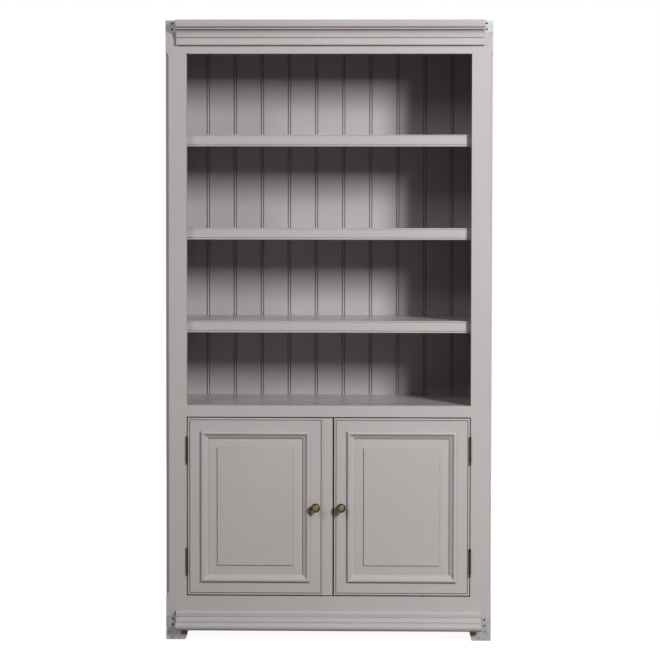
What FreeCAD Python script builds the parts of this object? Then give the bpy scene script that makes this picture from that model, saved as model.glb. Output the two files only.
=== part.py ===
import FreeCAD, Part

"""Tall painted bookcase: an open upper part with loose shelves over a cupboard with two hinged doors.

The frame of the model is +Z up with the front towards -Y. The origin is on the floor, in the middle of
the outer box, and all sizes are millimetres. A formula is text that names the sizes of the sheet, so
every piece follows the sheet.
"""
import math
import os
import re

import Sketcher
from FreeCAD import Placement, Rotation, Vector

# Driving sizes: name, number, meaning.
SIZES = [
    ("case_width", "1100", "over the outer faces of the two sides"),
    ("case_height", "2092", "floor to the top of the case"),
    ("case_depth", "450", "face of the frame to the back of the case"),
    ("stile_width", "70", "upright of the face frame"),
    ("frame_thickness", "27", "face frame timber"),
    ("frieze_height", "111", "top rail of the face frame"),
    ("middle_rail_top", "796", "height of the fixed board between bookcase and cupboard"),
    ("middle_rail_height", "38.5", "middle rail of the face frame"),
    ("bottom_rail_top", "148.5", "height of the cupboard floor"),
    ("bottom_rail_height", "103.5", "bottom rail of the face frame"),
    ("tenon_length", "35", "rail tenon into the stile"),
    ("tenon_thickness", "9", "rail tenon"),
    ("tenon_shoulder", "8", "set-in of a tenon above and below"),
    ("tenon_play", "1", "room at the end of a mortise"),
    ("stop_chamfer", "10.5", "width of the chamfer on the outer front edge"),
    ("stop_chamfer_bottom", "160", "height where the full chamfer starts"),
    ("stop_chamfer_top", "1975", "height where the full chamfer ends"),
    ("stop_length", "14", "run-out at each end of the chamfer"),
    ("stop_tip", "0.4", "width left at the tip of the run-out"),
    ("side_thickness", "20", "side panel"),
    ("board_thickness", "20", "top, middle and base boards"),
    ("housing_depth", "6", "groove in the side panel that takes a fixed board"),
    ("back_thickness", "12", "tongue and groove back boards"),
    ("back_rebate", "6", "rebate in the side panel that takes the back boards"),
    ("back_board_count", "11", "boards across the back"),
    ("back_bead", "7.2", "width of the bead on each back board"),
    ("back_quirk", "2.5", "width of the groove on each side of a bead"),
    ("back_tongue_start", "5", "depth of the tongue's front face behind the board's face"),
    ("back_tongue_thickness", "3.5", "tongue of a back board"),
    ("back_tongue_length", "5", "tongue of a back board"),
    ("back_tongue_play", "0.1", "room round a tongue in its groove"),
    ("foot_height", "41", "floor to the underside of the side panels"),
    ("front_foot_depth", "70", "front foot from the face of the frame backwards"),
    ("rear_foot_depth", "70", "rear foot from the back of the case forwards"),
    ("foot_bevel_width", "5", "bevel on the inner lower edge of a foot"),
    ("foot_bevel_height", "20", "bevel on the inner lower edge of a foot"),
    ("crown_projection", "50", "top edge of the crown in front of the frame"),
    ("crown_height", "81.3", "crown moulding"),
    ("crown_drop", "2.3", "top of the case down to the top of the crown"),
    ("crown_left_gap", "37.5", "outer face of the case to the left end of the crown"),
    ("crown_right_gap", "28.8", "outer face of the case to the right end of the crown"),
    ("crown_lip", "3", "flat edge over the nose"),
    ("crown_nose", "50", "radius of the nose"),
    ("crown_nose_turn", "18", "degrees that the nose turns inwards"),
    ("crown_under", "6", "radius of the rounding under the nose"),
    ("crown_soffit", "4.5", "width of the level face under that rounding"),
    ("crown_fillet", "5.5", "flat edge under the nose"),
    ("crown_cove", "23.4", "radius of the cove"),
    ("crown_cove_turn", "54.1", "degrees that the cove turns"),
    ("crown_cove_step", "2", "upright step over the cove"),
    ("crown_cove_foot", "17", "thickness of the crown at the foot of the cove"),
    ("crown_cove_edge", "5", "edge under the cove"),
    ("crown_edge_lean", "1", "lean of that edge"),
    ("crown_band_top", "11", "thickness of the lowest band at its top"),
    ("crown_band_bottom", "13", "thickness of the lowest band at its bottom"),
    ("crown_band_round", "2", "rounding of the crown's lower edge"),
    ("plinth_height", "65", "plinth moulding"),
    ("plinth_bottom", "36", "floor to the underside of the plinth moulding"),
    ("plinth_end_gap", "34.5", "outer face of the case to an end of the plinth"),
    ("plinth_torus", "13.7", "radius of the round at the foot of the plinth"),
    ("plinth_base", "25", "thickness of the plinth at the centre of its round"),
    ("plinth_quirk", "1.4", "height of the groove over the round"),
    ("plinth_quirk_depth", "0.8", "groove over the round"),
    ("plinth_band_bottom", "17", "thickness of the middle band at its bottom"),
    ("plinth_band_top", "12.4", "thickness of the middle band at its top"),
    ("plinth_band_height", "16", "middle band"),
    ("plinth_bead", "10", "radius of the bead along the top"),
    ("plinth_bead_centre", "4", "face of the frame to the middle of that bead"),
    ("plinth_bead_turn", "10", "degrees that the bead turns under"),
    ("plate_size", "40", "height of the steel plates and width of the foot plates"),
    ("corner_plate_width", "60", "corner plate, the inner part behind the moulding"),
    ("plate_thickness", "2", "steel plates, let in flush"),
    ("plate_hole_radius", "3.5", "free holes of the corner plates"),
    ("plate_hole_spacing", "20", "free holes of the corner plates, one above the other"),
    ("plate_hole_inset", "22", "outer face of the case to the free holes"),
    ("plate_bore_radius", "3.5", "bore in the stile behind a free hole"),
    ("plate_bore_depth", "22", "bore in the stile behind a free hole"),
    ("plate_screw_inset", "9", "edge of a plate to its fixing screws"),
    ("foot_plate_inset", "11", "outer face of the case to the foot plate"),
    ("screw_head_radius", "3.5", "countersunk screws of the plates"),
    ("screw_shank_radius", "1.75", "countersunk screws of the plates"),
    ("screw_length", "18", "countersunk screws of the plates"),
    ("screw_tip", "4", "pointed end of a screw"),
    ("screw_play", "0.05", "room round a screw or a pin in its hole"),
    ("screw_hole_extra", "1", "depth of a pilot hole past the screw's point"),
    ("shelf_count", "3", "loose shelves of the open part"),
    ("lowest_shelf_top", "1081", "height of the lowest loose shelf"),
    ("shelf_spacing", "315", "from one loose shelf to the next"),
    ("shelf_thickness", "22", "loose shelf"),
    ("shelf_front_gap", "1", "back of the face frame to a shelf's nosing"),
    ("shelf_back_gap", "2", "back boards to a shelf"),
    ("shelf_end_gap", "2", "side panel to a shelf's end"),
    ("nosing_height", "40.5", "edging of a shelf"),
    ("nosing_thickness", "22", "edging of a shelf"),
    ("nosing_top_bead", "4.5", "bead along the edging's top"),
    ("nosing_bottom_bead", "6", "bead along the edging's bottom"),
    ("nosing_quirk", "1.5", "groove beside a bead of the edging"),
    ("cupboard_shelf_top", "450", "height of the shelf in the cupboard"),
    ("cupboard_shelf_depth", "300", "shelf in the cupboard"),
    ("cupboard_shelf_thickness", "20", "shelf in the cupboard"),
    ("pin_radius", "3", "shelf pin"),
    ("pin_hole_depth", "10", "shelf pin in the side panel"),
    ("pin_length", "14", "free part of a shelf pin"),
    ("pin_collar_radius", "5", "shelf pin"),
    ("pin_collar_thickness", "1.5", "shelf pin"),
    ("pin_inset", "45", "front and back edges of a shelf to its pins"),
    ("door_side_gap", "3", "frame to a door's hinged edge"),
    ("door_top_gap", "4", "middle rail to a door"),
    ("door_bottom_gap", "4", "bottom rail to a door"),
    ("meeting_gap", "4.5", "left door to right door"),
    ("meeting_strip_width", "32", "flat strip on the left door's meeting edge"),
    ("door_thickness", "22", "doors"),
    ("door_member_width", "62", "stiles and rails of a door"),
    ("door_tenon_length", "30", "tenon of a door rail"),
    ("door_tenon_shoulder", "12", "set-in of a door tenon at the outer edge"),
    ("door_bead", "5.5", "width of the bead round a door"),
    ("door_bead_round", "2.2", "rounding of a door's front edges"),
    ("door_quirk_width", "3", "groove beside the bead"),
    ("door_quirk_depth", "3", "groove beside the bead"),
    ("panel_groove_depth", "8", "groove in the stiles and rails for the panel"),
    ("panel_play", "1", "room round the panel in its groove"),
    ("panel_edge_front", "6.5", "face of the door to the panel's edge"),
    ("panel_edge_thickness", "6", "edge of the panel, and its groove"),
    ("panel_margin_front", "4.5", "face of the door to the margin beside the field"),
    ("panel_field_front", "0.5", "face of the door to the panel's raised field"),
    ("panel_field_inset", "101.5", "edge of the door to the panel's raised field"),
    ("moulding_inset", "44", "edge of the door to the panel moulding"),
    ("moulding_width", "25", "panel moulding"),
    ("moulding_edge", "2.2", "square outer edge of the panel moulding"),
    ("moulding_nose", "7", "radius of the outer nose of the panel moulding"),
    ("moulding_flat", "1", "flat on top of the nose"),
    ("moulding_shoulder", "4", "radius where the nose turns inwards"),
    ("moulding_hollow", "10", "radius of the hollow inside the nose"),
    ("moulding_turn", "25", "degrees from level to the joint of shoulder and hollow"),
    ("moulding_run", "35", "degrees of slope from the hollow to the inner edge"),
    ("moulding_inner_drop", "3", "inner edge of the panel moulding below the door's face"),
    ("moulding_tongue", "6", "depth of the part that laps into the frame, below the door's face"),
    ("hinge_top_offset", "109.5", "top of a door to the middle of its upper hinge"),
    ("hinge_bottom_offset", "113", "bottom of a door to the middle of its lower hinge"),
    ("hinge_axis_out", "4", "face of the frame to the hinge pin, forwards"),
    ("hinge_barrel_length", "82", "all knuckles of a hinge"),
    ("hinge_barrel_radius", "3.5", "knuckle"),
    ("hinge_knuckle_gap", "0.3", "between two knuckles"),
    ("hinge_leaf_gap", "0.3", "between the two leaves of a shut hinge"),
    ("hinge_leaf_start", "4", "hinge pin to the front edge of a leaf"),
    ("hinge_leaf_depth", "19", "leaf of a hinge, front to back"),
    ("hinge_pin_radius", "1.6", "hinge pin"),
    ("hinge_pin_play", "0.05", "room round the pin in the knuckles"),
    ("hinge_finial_radius", "3.2", "ball on each end of a hinge pin"),
    ("hinge_finial_neck", "2", "radius of the neck under the ball"),
    ("hinge_finial_collar", "1", "length of the neck under the ball"),
    ("hinge_screw_spacing", "27", "between two screws of a leaf"),
    ("small_head_radius", "2.8", "screws of hinges and catches"),
    ("small_head_height", "1.2", "screws of hinges and catches"),
    ("small_shank_radius", "1.3", "screws of hinges and catches"),
    ("small_screw_length", "13", "screws of hinges and catches"),
    ("knob_edge_distance", "25", "edge of the door proper to the knob"),
    ("knob_rose_radius", "8.5", "foot of the knob"),
    ("knob_rose_thickness", "2", "foot of the knob"),
    ("knob_neck_radius", "5.5", "neck of the knob"),
    ("knob_neck_length", "18", "door's face to the top of the neck"),
    ("knob_flare", "8", "radius of the hollow under the head"),
    ("knob_radius", "15.5", "head of the knob"),
    ("knob_rim_height", "3", "upright edge of the head"),
    ("knob_rim", "1.2", "radius of the raised rim round the head"),
    ("knob_dome_rise", "4", "height of the domed middle of the head"),
    ("knob_screw_radius", "2", "screw that holds the knob"),
    ("knob_screw_bite", "8", "length of that screw inside the knob"),
    ("knob_screw_head_radius", "4", "screw that holds the knob"),
    ("knob_screw_head_height", "2.5", "screw that holds the knob"),
    ("knob_hole_play", "0.2", "room round that screw in the door"),
    ("catch_centre", "110", "middle of the case to the middle of a catch"),
    ("catch_length", "45", "magnetic catch"),
    ("catch_depth", "12", "magnetic catch"),
    ("catch_height", "14", "magnetic catch"),
    ("catch_gap", "0.3", "catch to the plate on the shut door"),
    ("catch_screw_spacing", "30", "two screws of a catch"),
    ("catch_screw_length", "24", "screws of a catch"),
    ("catch_plate_length", "32", "plate on the door"),
    ("catch_plate_height", "7", "plate on the door"),
    ("catch_plate_thickness", "1.5", "plate on the door"),
    ("catch_plate_screw_spacing", "18", "two screws of the plate on the door"),
]
NAMES = {name for name, _, _ in SIZES}

# Places in y, front to back.
FRONT = "((crown_projection - case_depth) / 2)"
BACK = "((crown_projection + case_depth) / 2)"
FRAME_BACK = f"({FRONT} + frame_thickness)"
BOARD_BACK = f"({BACK} - back_thickness)"
SHELF_FRONT = f"({FRAME_BACK} + shelf_front_gap)"
SHELF_BACK = f"({BOARD_BACK} - shelf_back_gap)"
CUPBOARD_SHELF_FRONT = f"({SHELF_BACK} - cupboard_shelf_depth)"
DOOR_BACK = f"({FRONT} + door_thickness)"
HINGE_AXIS_Y = f"({FRONT} - hinge_axis_out)"
PANEL_BACK = f"({FRONT} + panel_edge_front + panel_edge_thickness)"
# Distances in x from the middle of the case.
CASE_HALF = "(case_width / 2)"
INNER_HALF = "(case_width / 2 - side_thickness)"
OPEN_HALF = "(case_width / 2 - stile_width)"
BOARD_HALF = f"({INNER_HALF} + housing_depth)"
BACK_HALF = f"({INNER_HALF} + back_rebate)"
SHELF_HALF = f"({INNER_HALF} - shelf_end_gap)"
DOOR_OUTER = f"({OPEN_HALF} - door_side_gap)"
DOOR_INNER = "((meeting_gap + meeting_strip_width) / 2)"
HINGE_AXIS_X = f"({OPEN_HALF} - door_side_gap / 2)"
KNOB_X = f"({DOOR_INNER} + knob_edge_distance)"
# Heights.
FRIEZE_BOTTOM = "(case_height - frieze_height)"
MIDDLE_RAIL_BOTTOM = "(middle_rail_top - middle_rail_height)"
BOTTOM_RAIL_BOTTOM = "(bottom_rail_top - bottom_rail_height)"
BASE_UNDERSIDE = "(bottom_rail_top - board_thickness)"
DOOR_TOP = f"({MIDDLE_RAIL_BOTTOM} - door_top_gap)"
DOOR_BOTTOM = "(bottom_rail_top + door_bottom_gap)"
DOOR_MIDDLE = f"(({DOOR_TOP} + {DOOR_BOTTOM}) / 2)"
HINGE_HEIGHTS = {"upper": f"({DOOR_TOP} - hinge_top_offset)", "lower": f"({DOOR_BOTTOM} + hinge_bottom_offset)"}
LEAF_THICKNESS = "((door_side_gap - hinge_leaf_gap) / 2)"

SIDES = {"left": -1, "right": 1}
FACING_FRONT = Rotation(Vector(1, 0, 0), 90)   # local Z points forwards
FACING_BACK = Rotation(Vector(1, 0, 0), -90)   # local Z points backwards
HALF_TURN = Rotation(Vector(0, 0, 1), 180)     # local Y points forwards

doc = FreeCAD.newDocument("bookcase")
sheet = doc.addObject("Spreadsheet::Sheet", "Sizes")
parts = []


# ---------------------------------------------------------------- formulas and general pieces

def fill_sheet():
    """Write each driving size into the sheet, with its name as the alias of its cell."""
    for row, (name, number, meaning) in enumerate(SIZES, start=1):
        sheet.set(f"A{row}", name)
        sheet.set(f"B{row}", number)
        sheet.set(f"C{row}", meaning)
        sheet.setAlias(f"B{row}", name)
    doc.recompute()


def linked(formula):
    """Point the names in a formula at the sheet."""
    return re.sub(r"[a-z_]+", lambda word: "Sizes." + word[0] if word[0] in NAMES else word[0], formula)


def value(formula):
    """Number that a formula gives now."""
    return float(sheet.evalExpression(linked(formula)))


def bind(item, **formulas):
    """Tie properties of an object to formulas."""
    for name, formula in formulas.items():
        item.setExpression(name, linked(formula))
    return item


def place(item, x="0", y="0", z="0", turn=Rotation()):
    """Put an object at a point given by formulas, turned as stated."""
    item.Placement = Placement(Vector(), turn)
    for axis, formula in (("x", x), ("y", y), ("z", z)):
        item.setExpression("Placement.Base." + axis, linked(formula))
    return item


def mirrored(side, inner, outer):
    """Span in x between two distances from the middle, to the left (-1) or to the right (1)."""
    return (inner, outer) if side > 0 else (f"-({outer})", f"-({inner})")


def around(centre, length):
    """Span of a length about a centre."""
    return (f"{centre} - {length} / 2", f"{centre} + {length} / 2")


def box(name, x, y, z):
    """Box between two corners, given as spans along the three axes."""
    item = doc.addObject("Part::Box", name)
    bind(item, Length=f"({x[1]}) - ({x[0]})", Width=f"({y[1]}) - ({y[0]})", Height=f"({z[1]}) - ({z[0]})")
    return place(item, x[0], y[0], z[0])


def cylinder(name, radius, height, x, y, z, turn=Rotation()):
    """Cylinder from a point along its own Z."""
    item = bind(doc.addObject("Part::Cylinder", name), Radius=radius, Height=height)
    return place(item, x, y, z, turn)


def fuse(name, items):
    """Join overlapping or touching solids into one."""
    item = doc.addObject("Part::MultiFuse", name)
    item.Shapes = items
    item.Refine = True
    return item


def cut(name, base, tools):
    """Cut tools out of a base."""
    item = doc.addObject("Part::Cut", name)
    item.Base = base
    item.Tool = tools[0] if len(tools) == 1 else fuse(name + "_tools", tools)
    return item


def common(name, base, tool):
    """Keep only what two solids share."""
    item = doc.addObject("Part::Common", name)
    item.Base = base
    item.Tool = tool
    return item


def group(name, items):
    """Several separate solids as one sub-part."""
    item = doc.addObject("Part::Compound", name)
    item.Links = items
    return item


def copy_of(source, name, x, y, z, turn=Rotation()):
    """Placed copy of a solid."""
    item = doc.addObject("App::Link", name)
    item.LinkedObject = source
    return place(item, x, y, z, turn)


def keep(item):
    """List an object as a sub-part of the bookcase, under its own name."""
    item.Label = item.Name
    parts.append(item)
    return item


# ---------------------------------------------------------------- sketches and bodies

def new_body(name):
    """Empty body."""
    return doc.addObject("PartDesign::Body", name)


def new_sketch(body, name, plane, lift="0"):
    """Sketch in one of a body's own planes, lifted along the plane's normal."""
    sketch = body.newObject("Sketcher::SketchObject", name)
    origin_plane = next(item for item in body.Origin.OriginFeatures if item.Role == plane)
    sketch.AttachmentSupport = [(origin_plane, "")]
    sketch.MapMode = "FlatFace"
    sketch.setExpression("AttachmentOffset.Base.z", linked(lift))
    return sketch


def pin_down(sketch, edge, end, axis, formula):
    """Fix one coordinate of a sketch point."""
    if formula == "0":
        sketch.addConstraint(Sketcher.Constraint("PointOnObject", edge, end, -2 if axis == "X" else -1))
        return
    index = sketch.addConstraint(
        Sketcher.Constraint("Distance" + axis, -1, 1, edge, end, value(formula)))
    sketch.setExpression(f"Constraints[{index}]", linked(formula))


def arc_edge(start, finish, centre, turn):
    """Arc between two points; turn is 1 for counter-clockwise. Gives the arc and its first end's number."""
    first, last = (start, finish) if turn > 0 else (finish, start)
    angles = [math.atan2(point[1] - centre[1], point[0] - centre[0]) for point in (first, last)]
    if angles[1] <= angles[0]:
        angles[1] += 2 * math.pi
    radius = math.dist(first, centre)
    circle = Part.Circle(Vector(*centre, 0), Vector(0, 0, 1), radius)
    return Part.ArcOfCircle(circle, *angles), 1 if turn > 0 else 2


def draw(sketch, corners):
    """Draw a closed outline through corners (x, y), all given by formulas.

    A corner (x, y, centre x, centre y, turn) is reached by an arc; the edge to the first corner is straight.
    """
    points = [(value(corner[0]), value(corner[1])) for corner in corners]
    edges = []
    for number, start in enumerate(points):
        target = (number + 1) % len(points)
        corner = corners[target]
        if len(corner) == 2:
            shape, first_end = Part.LineSegment(Vector(*start, 0), Vector(*points[target], 0)), 1
        else:
            centre = (value(corner[2]), value(corner[3]))
            shape, first_end = arc_edge(start, points[target], centre, corner[4])
        edges.append((sketch.addGeometry(shape), first_end))
    for number, (edge, first_end) in enumerate(edges):
        target = (number + 1) % len(edges)
        corner = corners[target]
        next_edge, next_end = edges[target]
        last_end = 3 - first_end
        sketch.addConstraint(Sketcher.Constraint("Coincident", edge, last_end, next_edge, next_end))
        if len(corner) == 2:
            pin_down(sketch, edge, last_end, "X", corner[0])
            pin_down(sketch, edge, last_end, "Y", corner[1])
            continue
        pin_down(sketch, edge, 3, "X", corner[2])
        pin_down(sketch, edge, 3, "Y", corner[3])
        across = abs(points[target][0] - value(corner[2]))
        along = abs(points[target][1] - value(corner[3]))
        if along > across:
            pin_down(sketch, edge, last_end, "X", corner[0])
        else:
            pin_down(sketch, edge, last_end, "Y", corner[1])
    return sketch


def pad(body, sketch, length, midplane=False):
    """Give a sketch thickness along its normal."""
    feature = body.newObject("PartDesign::Pad", body.Name + "_pad")
    feature.Profile = sketch
    if midplane:
        feature.SideType = "Symmetric"
    feature.setExpression("Length", linked(length))
    return feature


def extruded(name, plane, corners, length, midplane=False):
    """Body made from one outline and a length."""
    body = new_body(name)
    pad(body, draw(new_sketch(body, name + "_outline", plane), corners), length, midplane)
    return body


def turned(name, corners):
    """Body turned about its own Z from an outline of radii and heights."""
    body = new_body(name)
    sketch = draw(new_sketch(body, name + "_outline", "XZ_Plane"), corners)
    feature = body.newObject("PartDesign::Revolution", name + "_turning")
    feature.Profile = sketch
    feature.ReferenceAxis = (sketch, ["V_Axis"])
    feature.Angle = 360
    return body


# ---------------------------------------------------------------- screws and their holes

def countersunk(name, head_radius, head_height, shank_radius, length):
    """Countersunk wood screw that points down its own Z, its head flush with the origin."""
    return turned(name, [
        ("0", "0"), (head_radius, "0"), (shank_radius, f"-{head_height}"),
        (shank_radius, f"screw_tip - {length}"), ("0", f"-{length}")])


def pilot(name, shank_radius, length, x, y, z, turn):
    """Hole for a screw that points down its own Z, from the screw's head on."""
    depth = f"({length} + screw_hole_extra)"
    item = turned(name, [
        ("0", "0"), (f"{shank_radius} + screw_play", "0"),
        (f"{shank_radius} + screw_play", f"-{depth}"), ("0", f"-{depth}")])
    return place(item, x, y, z, turn)


def countersink(name, head_radius, head_height, shank_radius, depth, x, y, z, turn):
    """Hole through a plate, or a block, of a depth for a countersunk screw that points down its own Z."""
    end = f"-({depth} + screw_hole_extra)"
    item = turned(name, [
        ("0", "0"), (f"{head_radius} + screw_play", "0"), (f"{shank_radius} + screw_play", f"-{head_height}"),
        (f"{shank_radius} + screw_play", end), ("0", end)])
    return place(item, x, y, z, turn)


PLATE_SCREW = ("screw_head_radius", "plate_thickness", "screw_shank_radius")
SMALL_SCREW = ("small_head_radius", "small_head_height", "small_shank_radius")


def corner_plate_bottoms():
    """Lower edge of the top and base corner plates."""
    return {"top": "(case_height - plate_size)", "base": "foot_height"}


def plate_screw_places(side):
    """Heads of the screws that fix one side's plates, as (x, z)."""
    corner_x = f"{side} * ({CASE_HALF} - corner_plate_width + plate_screw_inset)"
    places = [(corner_x, f"{bottom} + plate_size / 2 {sign} plate_hole_spacing / 2")
              for bottom in corner_plate_bottoms().values() for sign in "-+"]
    foot_centre = f"{side} * ({CASE_HALF} - foot_plate_inset - plate_size / 2)"
    places += [(f"{foot_centre} {sign} (plate_size / 2 - plate_screw_inset)",
                f"plate_size / 2 {sign} (plate_size / 2 - plate_screw_inset)") for sign in "-+"]
    return places


def plate_pilot(name, x, z):
    """Pilot hole for one screw of the steel plates."""
    return pilot(name, "screw_shank_radius", "screw_length", x, FRONT, z, FACING_FRONT)


def hinge_screw_heights():
    """Heights of all hinge screws."""
    return [f"{centre} + {step} * hinge_screw_spacing" for centre in HINGE_HEIGHTS.values() for step in (-1, 0, 1)]


def hinge_screw_x(side, of_door):
    """Distance in x of a hinge screw's head, on the leaf of the door or of the frame."""
    sign = "-" if of_door else "+"
    return f"{side} * ({HINGE_AXIS_X} {sign} hinge_leaf_gap / 2)"


HINGE_SCREW_Y = f"({HINGE_AXIS_Y} + hinge_leaf_start + hinge_leaf_depth / 2)"


def sideways(direction):
    """Turn that points a screw's own Z along +X (1) or -X (-1)."""
    return Rotation(Vector(0, 1, 0), 90 * direction)


# ---------------------------------------------------------------- face frame

RAILS = {
    "frieze_rail": (FRIEZE_BOTTOM, "case_height"),
    "middle_rail": (MIDDLE_RAIL_BOTTOM, "middle_rail_top"),
    "bottom_rail": (BOTTOM_RAIL_BOTTOM, "bottom_rail_top"),
}
TENON_Y = around(f"({FRONT} + frame_thickness / 2)", "tenon_thickness")


def tenon_span(rail):
    """Heights between which a rail's tenon lies."""
    low, high = RAILS[rail]
    return (f"{low} + tenon_shoulder", f"{high} - tenon_shoulder")


def stop_chamfer_tool(name, side):
    """Prism that cuts the stopped chamfer along the outer front edge."""
    levels = [
        ("stop_tip", "stop_chamfer_bottom - stop_length"), ("stop_chamfer", "stop_chamfer_bottom"),
        ("stop_chamfer", "stop_chamfer_top"), ("stop_tip", "stop_chamfer_top + stop_length")]
    sections = []
    for number, (size, height) in enumerate(levels):
        sketch = doc.addObject("Sketcher::SketchObject", f"{name}_section_{number}")
        edge_x = f"{side} * {CASE_HALF}"
        draw(sketch, [(edge_x, FRONT), (edge_x, f"{FRONT} + {size}"),
                      (f"{side} * ({CASE_HALF} - {size})", FRONT)])
        sections.append(place(sketch, z=height))
    tool = doc.addObject("Part::Loft", name)
    tool.Sections = sections
    tool.Solid = True
    tool.Ruled = True
    return tool


def make_stile(word, side):
    """Upright of the face frame that runs down to the floor as the front of a foot."""
    name = "front_stile_" + word
    blank = box(name + "_blank", mirrored(side, OPEN_HALF, CASE_HALF), (FRONT, FRAME_BACK), ("0", "case_height"))
    tools = [stop_chamfer_tool(name + "_chamfer", side), foot_bevel(name + "_bevel", side)]
    let_in = (FRONT, f"{FRONT} + plate_thickness")
    for rail in RAILS:
        tools.append(box(f"{name}_mortise_{rail}", mirrored(side, OPEN_HALF, f"{OPEN_HALF} + tenon_length + tenon_play"),
                         TENON_Y, tenon_span(rail)))
    for level, bottom in corner_plate_bottoms().items():
        tools.append(box(f"{name}_seat_{level}", mirrored(side, f"{CASE_HALF} - corner_plate_width", CASE_HALF),
                         let_in, (bottom, f"{bottom} + plate_size")))
        for number, height in enumerate(plate_hole_heights(bottom)):
            tools.append(cylinder(f"{name}_bore_{level}_{number}", "plate_bore_radius",
                                  "plate_bore_depth + plate_thickness",
                                  f"{side} * ({CASE_HALF} - plate_hole_inset)", FRONT, height, FACING_BACK))
    tools.append(box(name + "_seat_foot", foot_plate_span(side), let_in, ("0", "plate_size")))
    tools += [plate_pilot(f"{name}_pilot_{number}", x, z)
              for number, (x, z) in enumerate(plate_screw_places(side))]
    for number, height in enumerate(hinge_screw_heights()):
        tools.append(pilot(f"{name}_hinge_pilot_{number}", "small_shank_radius", "small_screw_length",
                           hinge_screw_x(side, False), HINGE_SCREW_Y, height, sideways(-side)))
    keep(cut(name, blank, tools))


def foot_bevel(name, side):
    """Prism that bevels the inner lower edge of a front or rear foot."""
    inner = f"{side} * {OPEN_HALF}"
    body = extruded(name, "XZ_Plane", [
        (inner, "0"), (f"{side} * ({OPEN_HALF} + foot_bevel_width)", "0"), (inner, "foot_bevel_height")],
        "case_depth")
    return place(body, y=BACK)


def foot_plate_span(side):
    """Where a foot plate lies in x."""
    outer = f"{CASE_HALF} - foot_plate_inset"
    return mirrored(side, f"{outer} - plate_size", outer)


def plate_hole_heights(bottom):
    """Heights of the two free holes of a corner plate."""
    return around(f"({bottom} + plate_size / 2)", "plate_hole_spacing")


def make_rail(name):
    """Rail of the face frame with a tenon at each end, which the nearest plate screws also pass."""
    low, high = RAILS[name]
    shoulder = box(name + "_shoulder", (f"-{OPEN_HALF}", OPEN_HALF), (FRONT, FRAME_BACK), (low, high))
    reach = f"({OPEN_HALF} + tenon_length)"
    tenon = box(name + "_tenon", (f"-{reach}", reach), TENON_Y, tenon_span(name))
    if name == "middle_rail":
        keep(fuse(name, [shoulder, tenon]))
        return
    tools = [plate_pilot(f"{name}_pilot_{side + 1}_{number}", x, z)
             for side in SIDES.values() for number, (x, z) in enumerate(plate_screw_places(side)[:4])]
    keep(cut(name, fuse(name + "_blank", [shoulder, tenon]), tools))


# ---------------------------------------------------------------- case

BOARDS = {
    "top_board": ("(case_height - board_thickness)", "case_height"),
    "middle_board": ("(middle_rail_top - board_thickness)", "middle_rail_top"),
    "base_board": (BASE_UNDERSIDE, "bottom_rail_top"),
}


def shelf_tops():
    """Heights of all loose shelves: name to (top, thickness, front edge)."""
    shelves = {}
    for number in range(int(value("shelf_count"))):
        top = f"(lowest_shelf_top + {number} * shelf_spacing)"
        shelves[f"shelf_{number + 1}"] = (top, "shelf_thickness", SHELF_FRONT)
    shelves["cupboard_shelf"] = ("cupboard_shelf_top", "cupboard_shelf_thickness", CUPBOARD_SHELF_FRONT)
    return shelves


def pin_places():
    """Axes of the shelf pins on one side, as (y, z)."""
    places = []
    for top, thickness, front in shelf_tops().values():
        height = f"({top} - {thickness} - pin_radius)"
        places += [(f"({front} + pin_inset)", height), (f"({SHELF_BACK} - pin_inset)", height)]
    return places


def make_side(word, side):
    """Side panel with housings for the fixed boards, a rebate for the back and holes for the pins."""
    name = "side_panel_" + word
    blank = box(name + "_blank", mirrored(side, INNER_HALF, CASE_HALF), (FRAME_BACK, BACK),
                ("foot_height", "case_height"))
    tools = [box(f"{name}_housing_{board}", mirrored(side, INNER_HALF, BOARD_HALF), (FRAME_BACK, BOARD_BACK), span)
             for board, span in BOARDS.items()]
    tools.append(box(name + "_rebate", mirrored(side, INNER_HALF, BACK_HALF), (BOARD_BACK, BACK),
                     (BASE_UNDERSIDE, "case_height")))
    for number, (y, z) in enumerate(pin_places()):
        tools.append(cylinder(f"{name}_pin_hole_{number}", "pin_radius + screw_play",
                              "pin_hole_depth + screw_hole_extra", f"{side} * {INNER_HALF}", y, z, sideways(side)))
    keep(cut(name, blank, tools))


def make_board(name):
    """Fixed board between the side panels."""
    spans = ((f"-{BOARD_HALF}", BOARD_HALF), (FRAME_BACK, BOARD_BACK), BOARDS[name])
    if name != "base_board":
        keep(box(name, *spans))
        return
    tools = [pilot(f"{name}_pilot_{number}", "small_shank_radius", "catch_screw_length", x, y, z, Rotation())
             for number, (x, y, z) in enumerate(catch_screw_places())]
    keep(cut(name, box(name + "_blank", *spans), tools))


BACK_PITCH = f"(2 * {BACK_HALF} / back_board_count)"


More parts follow.
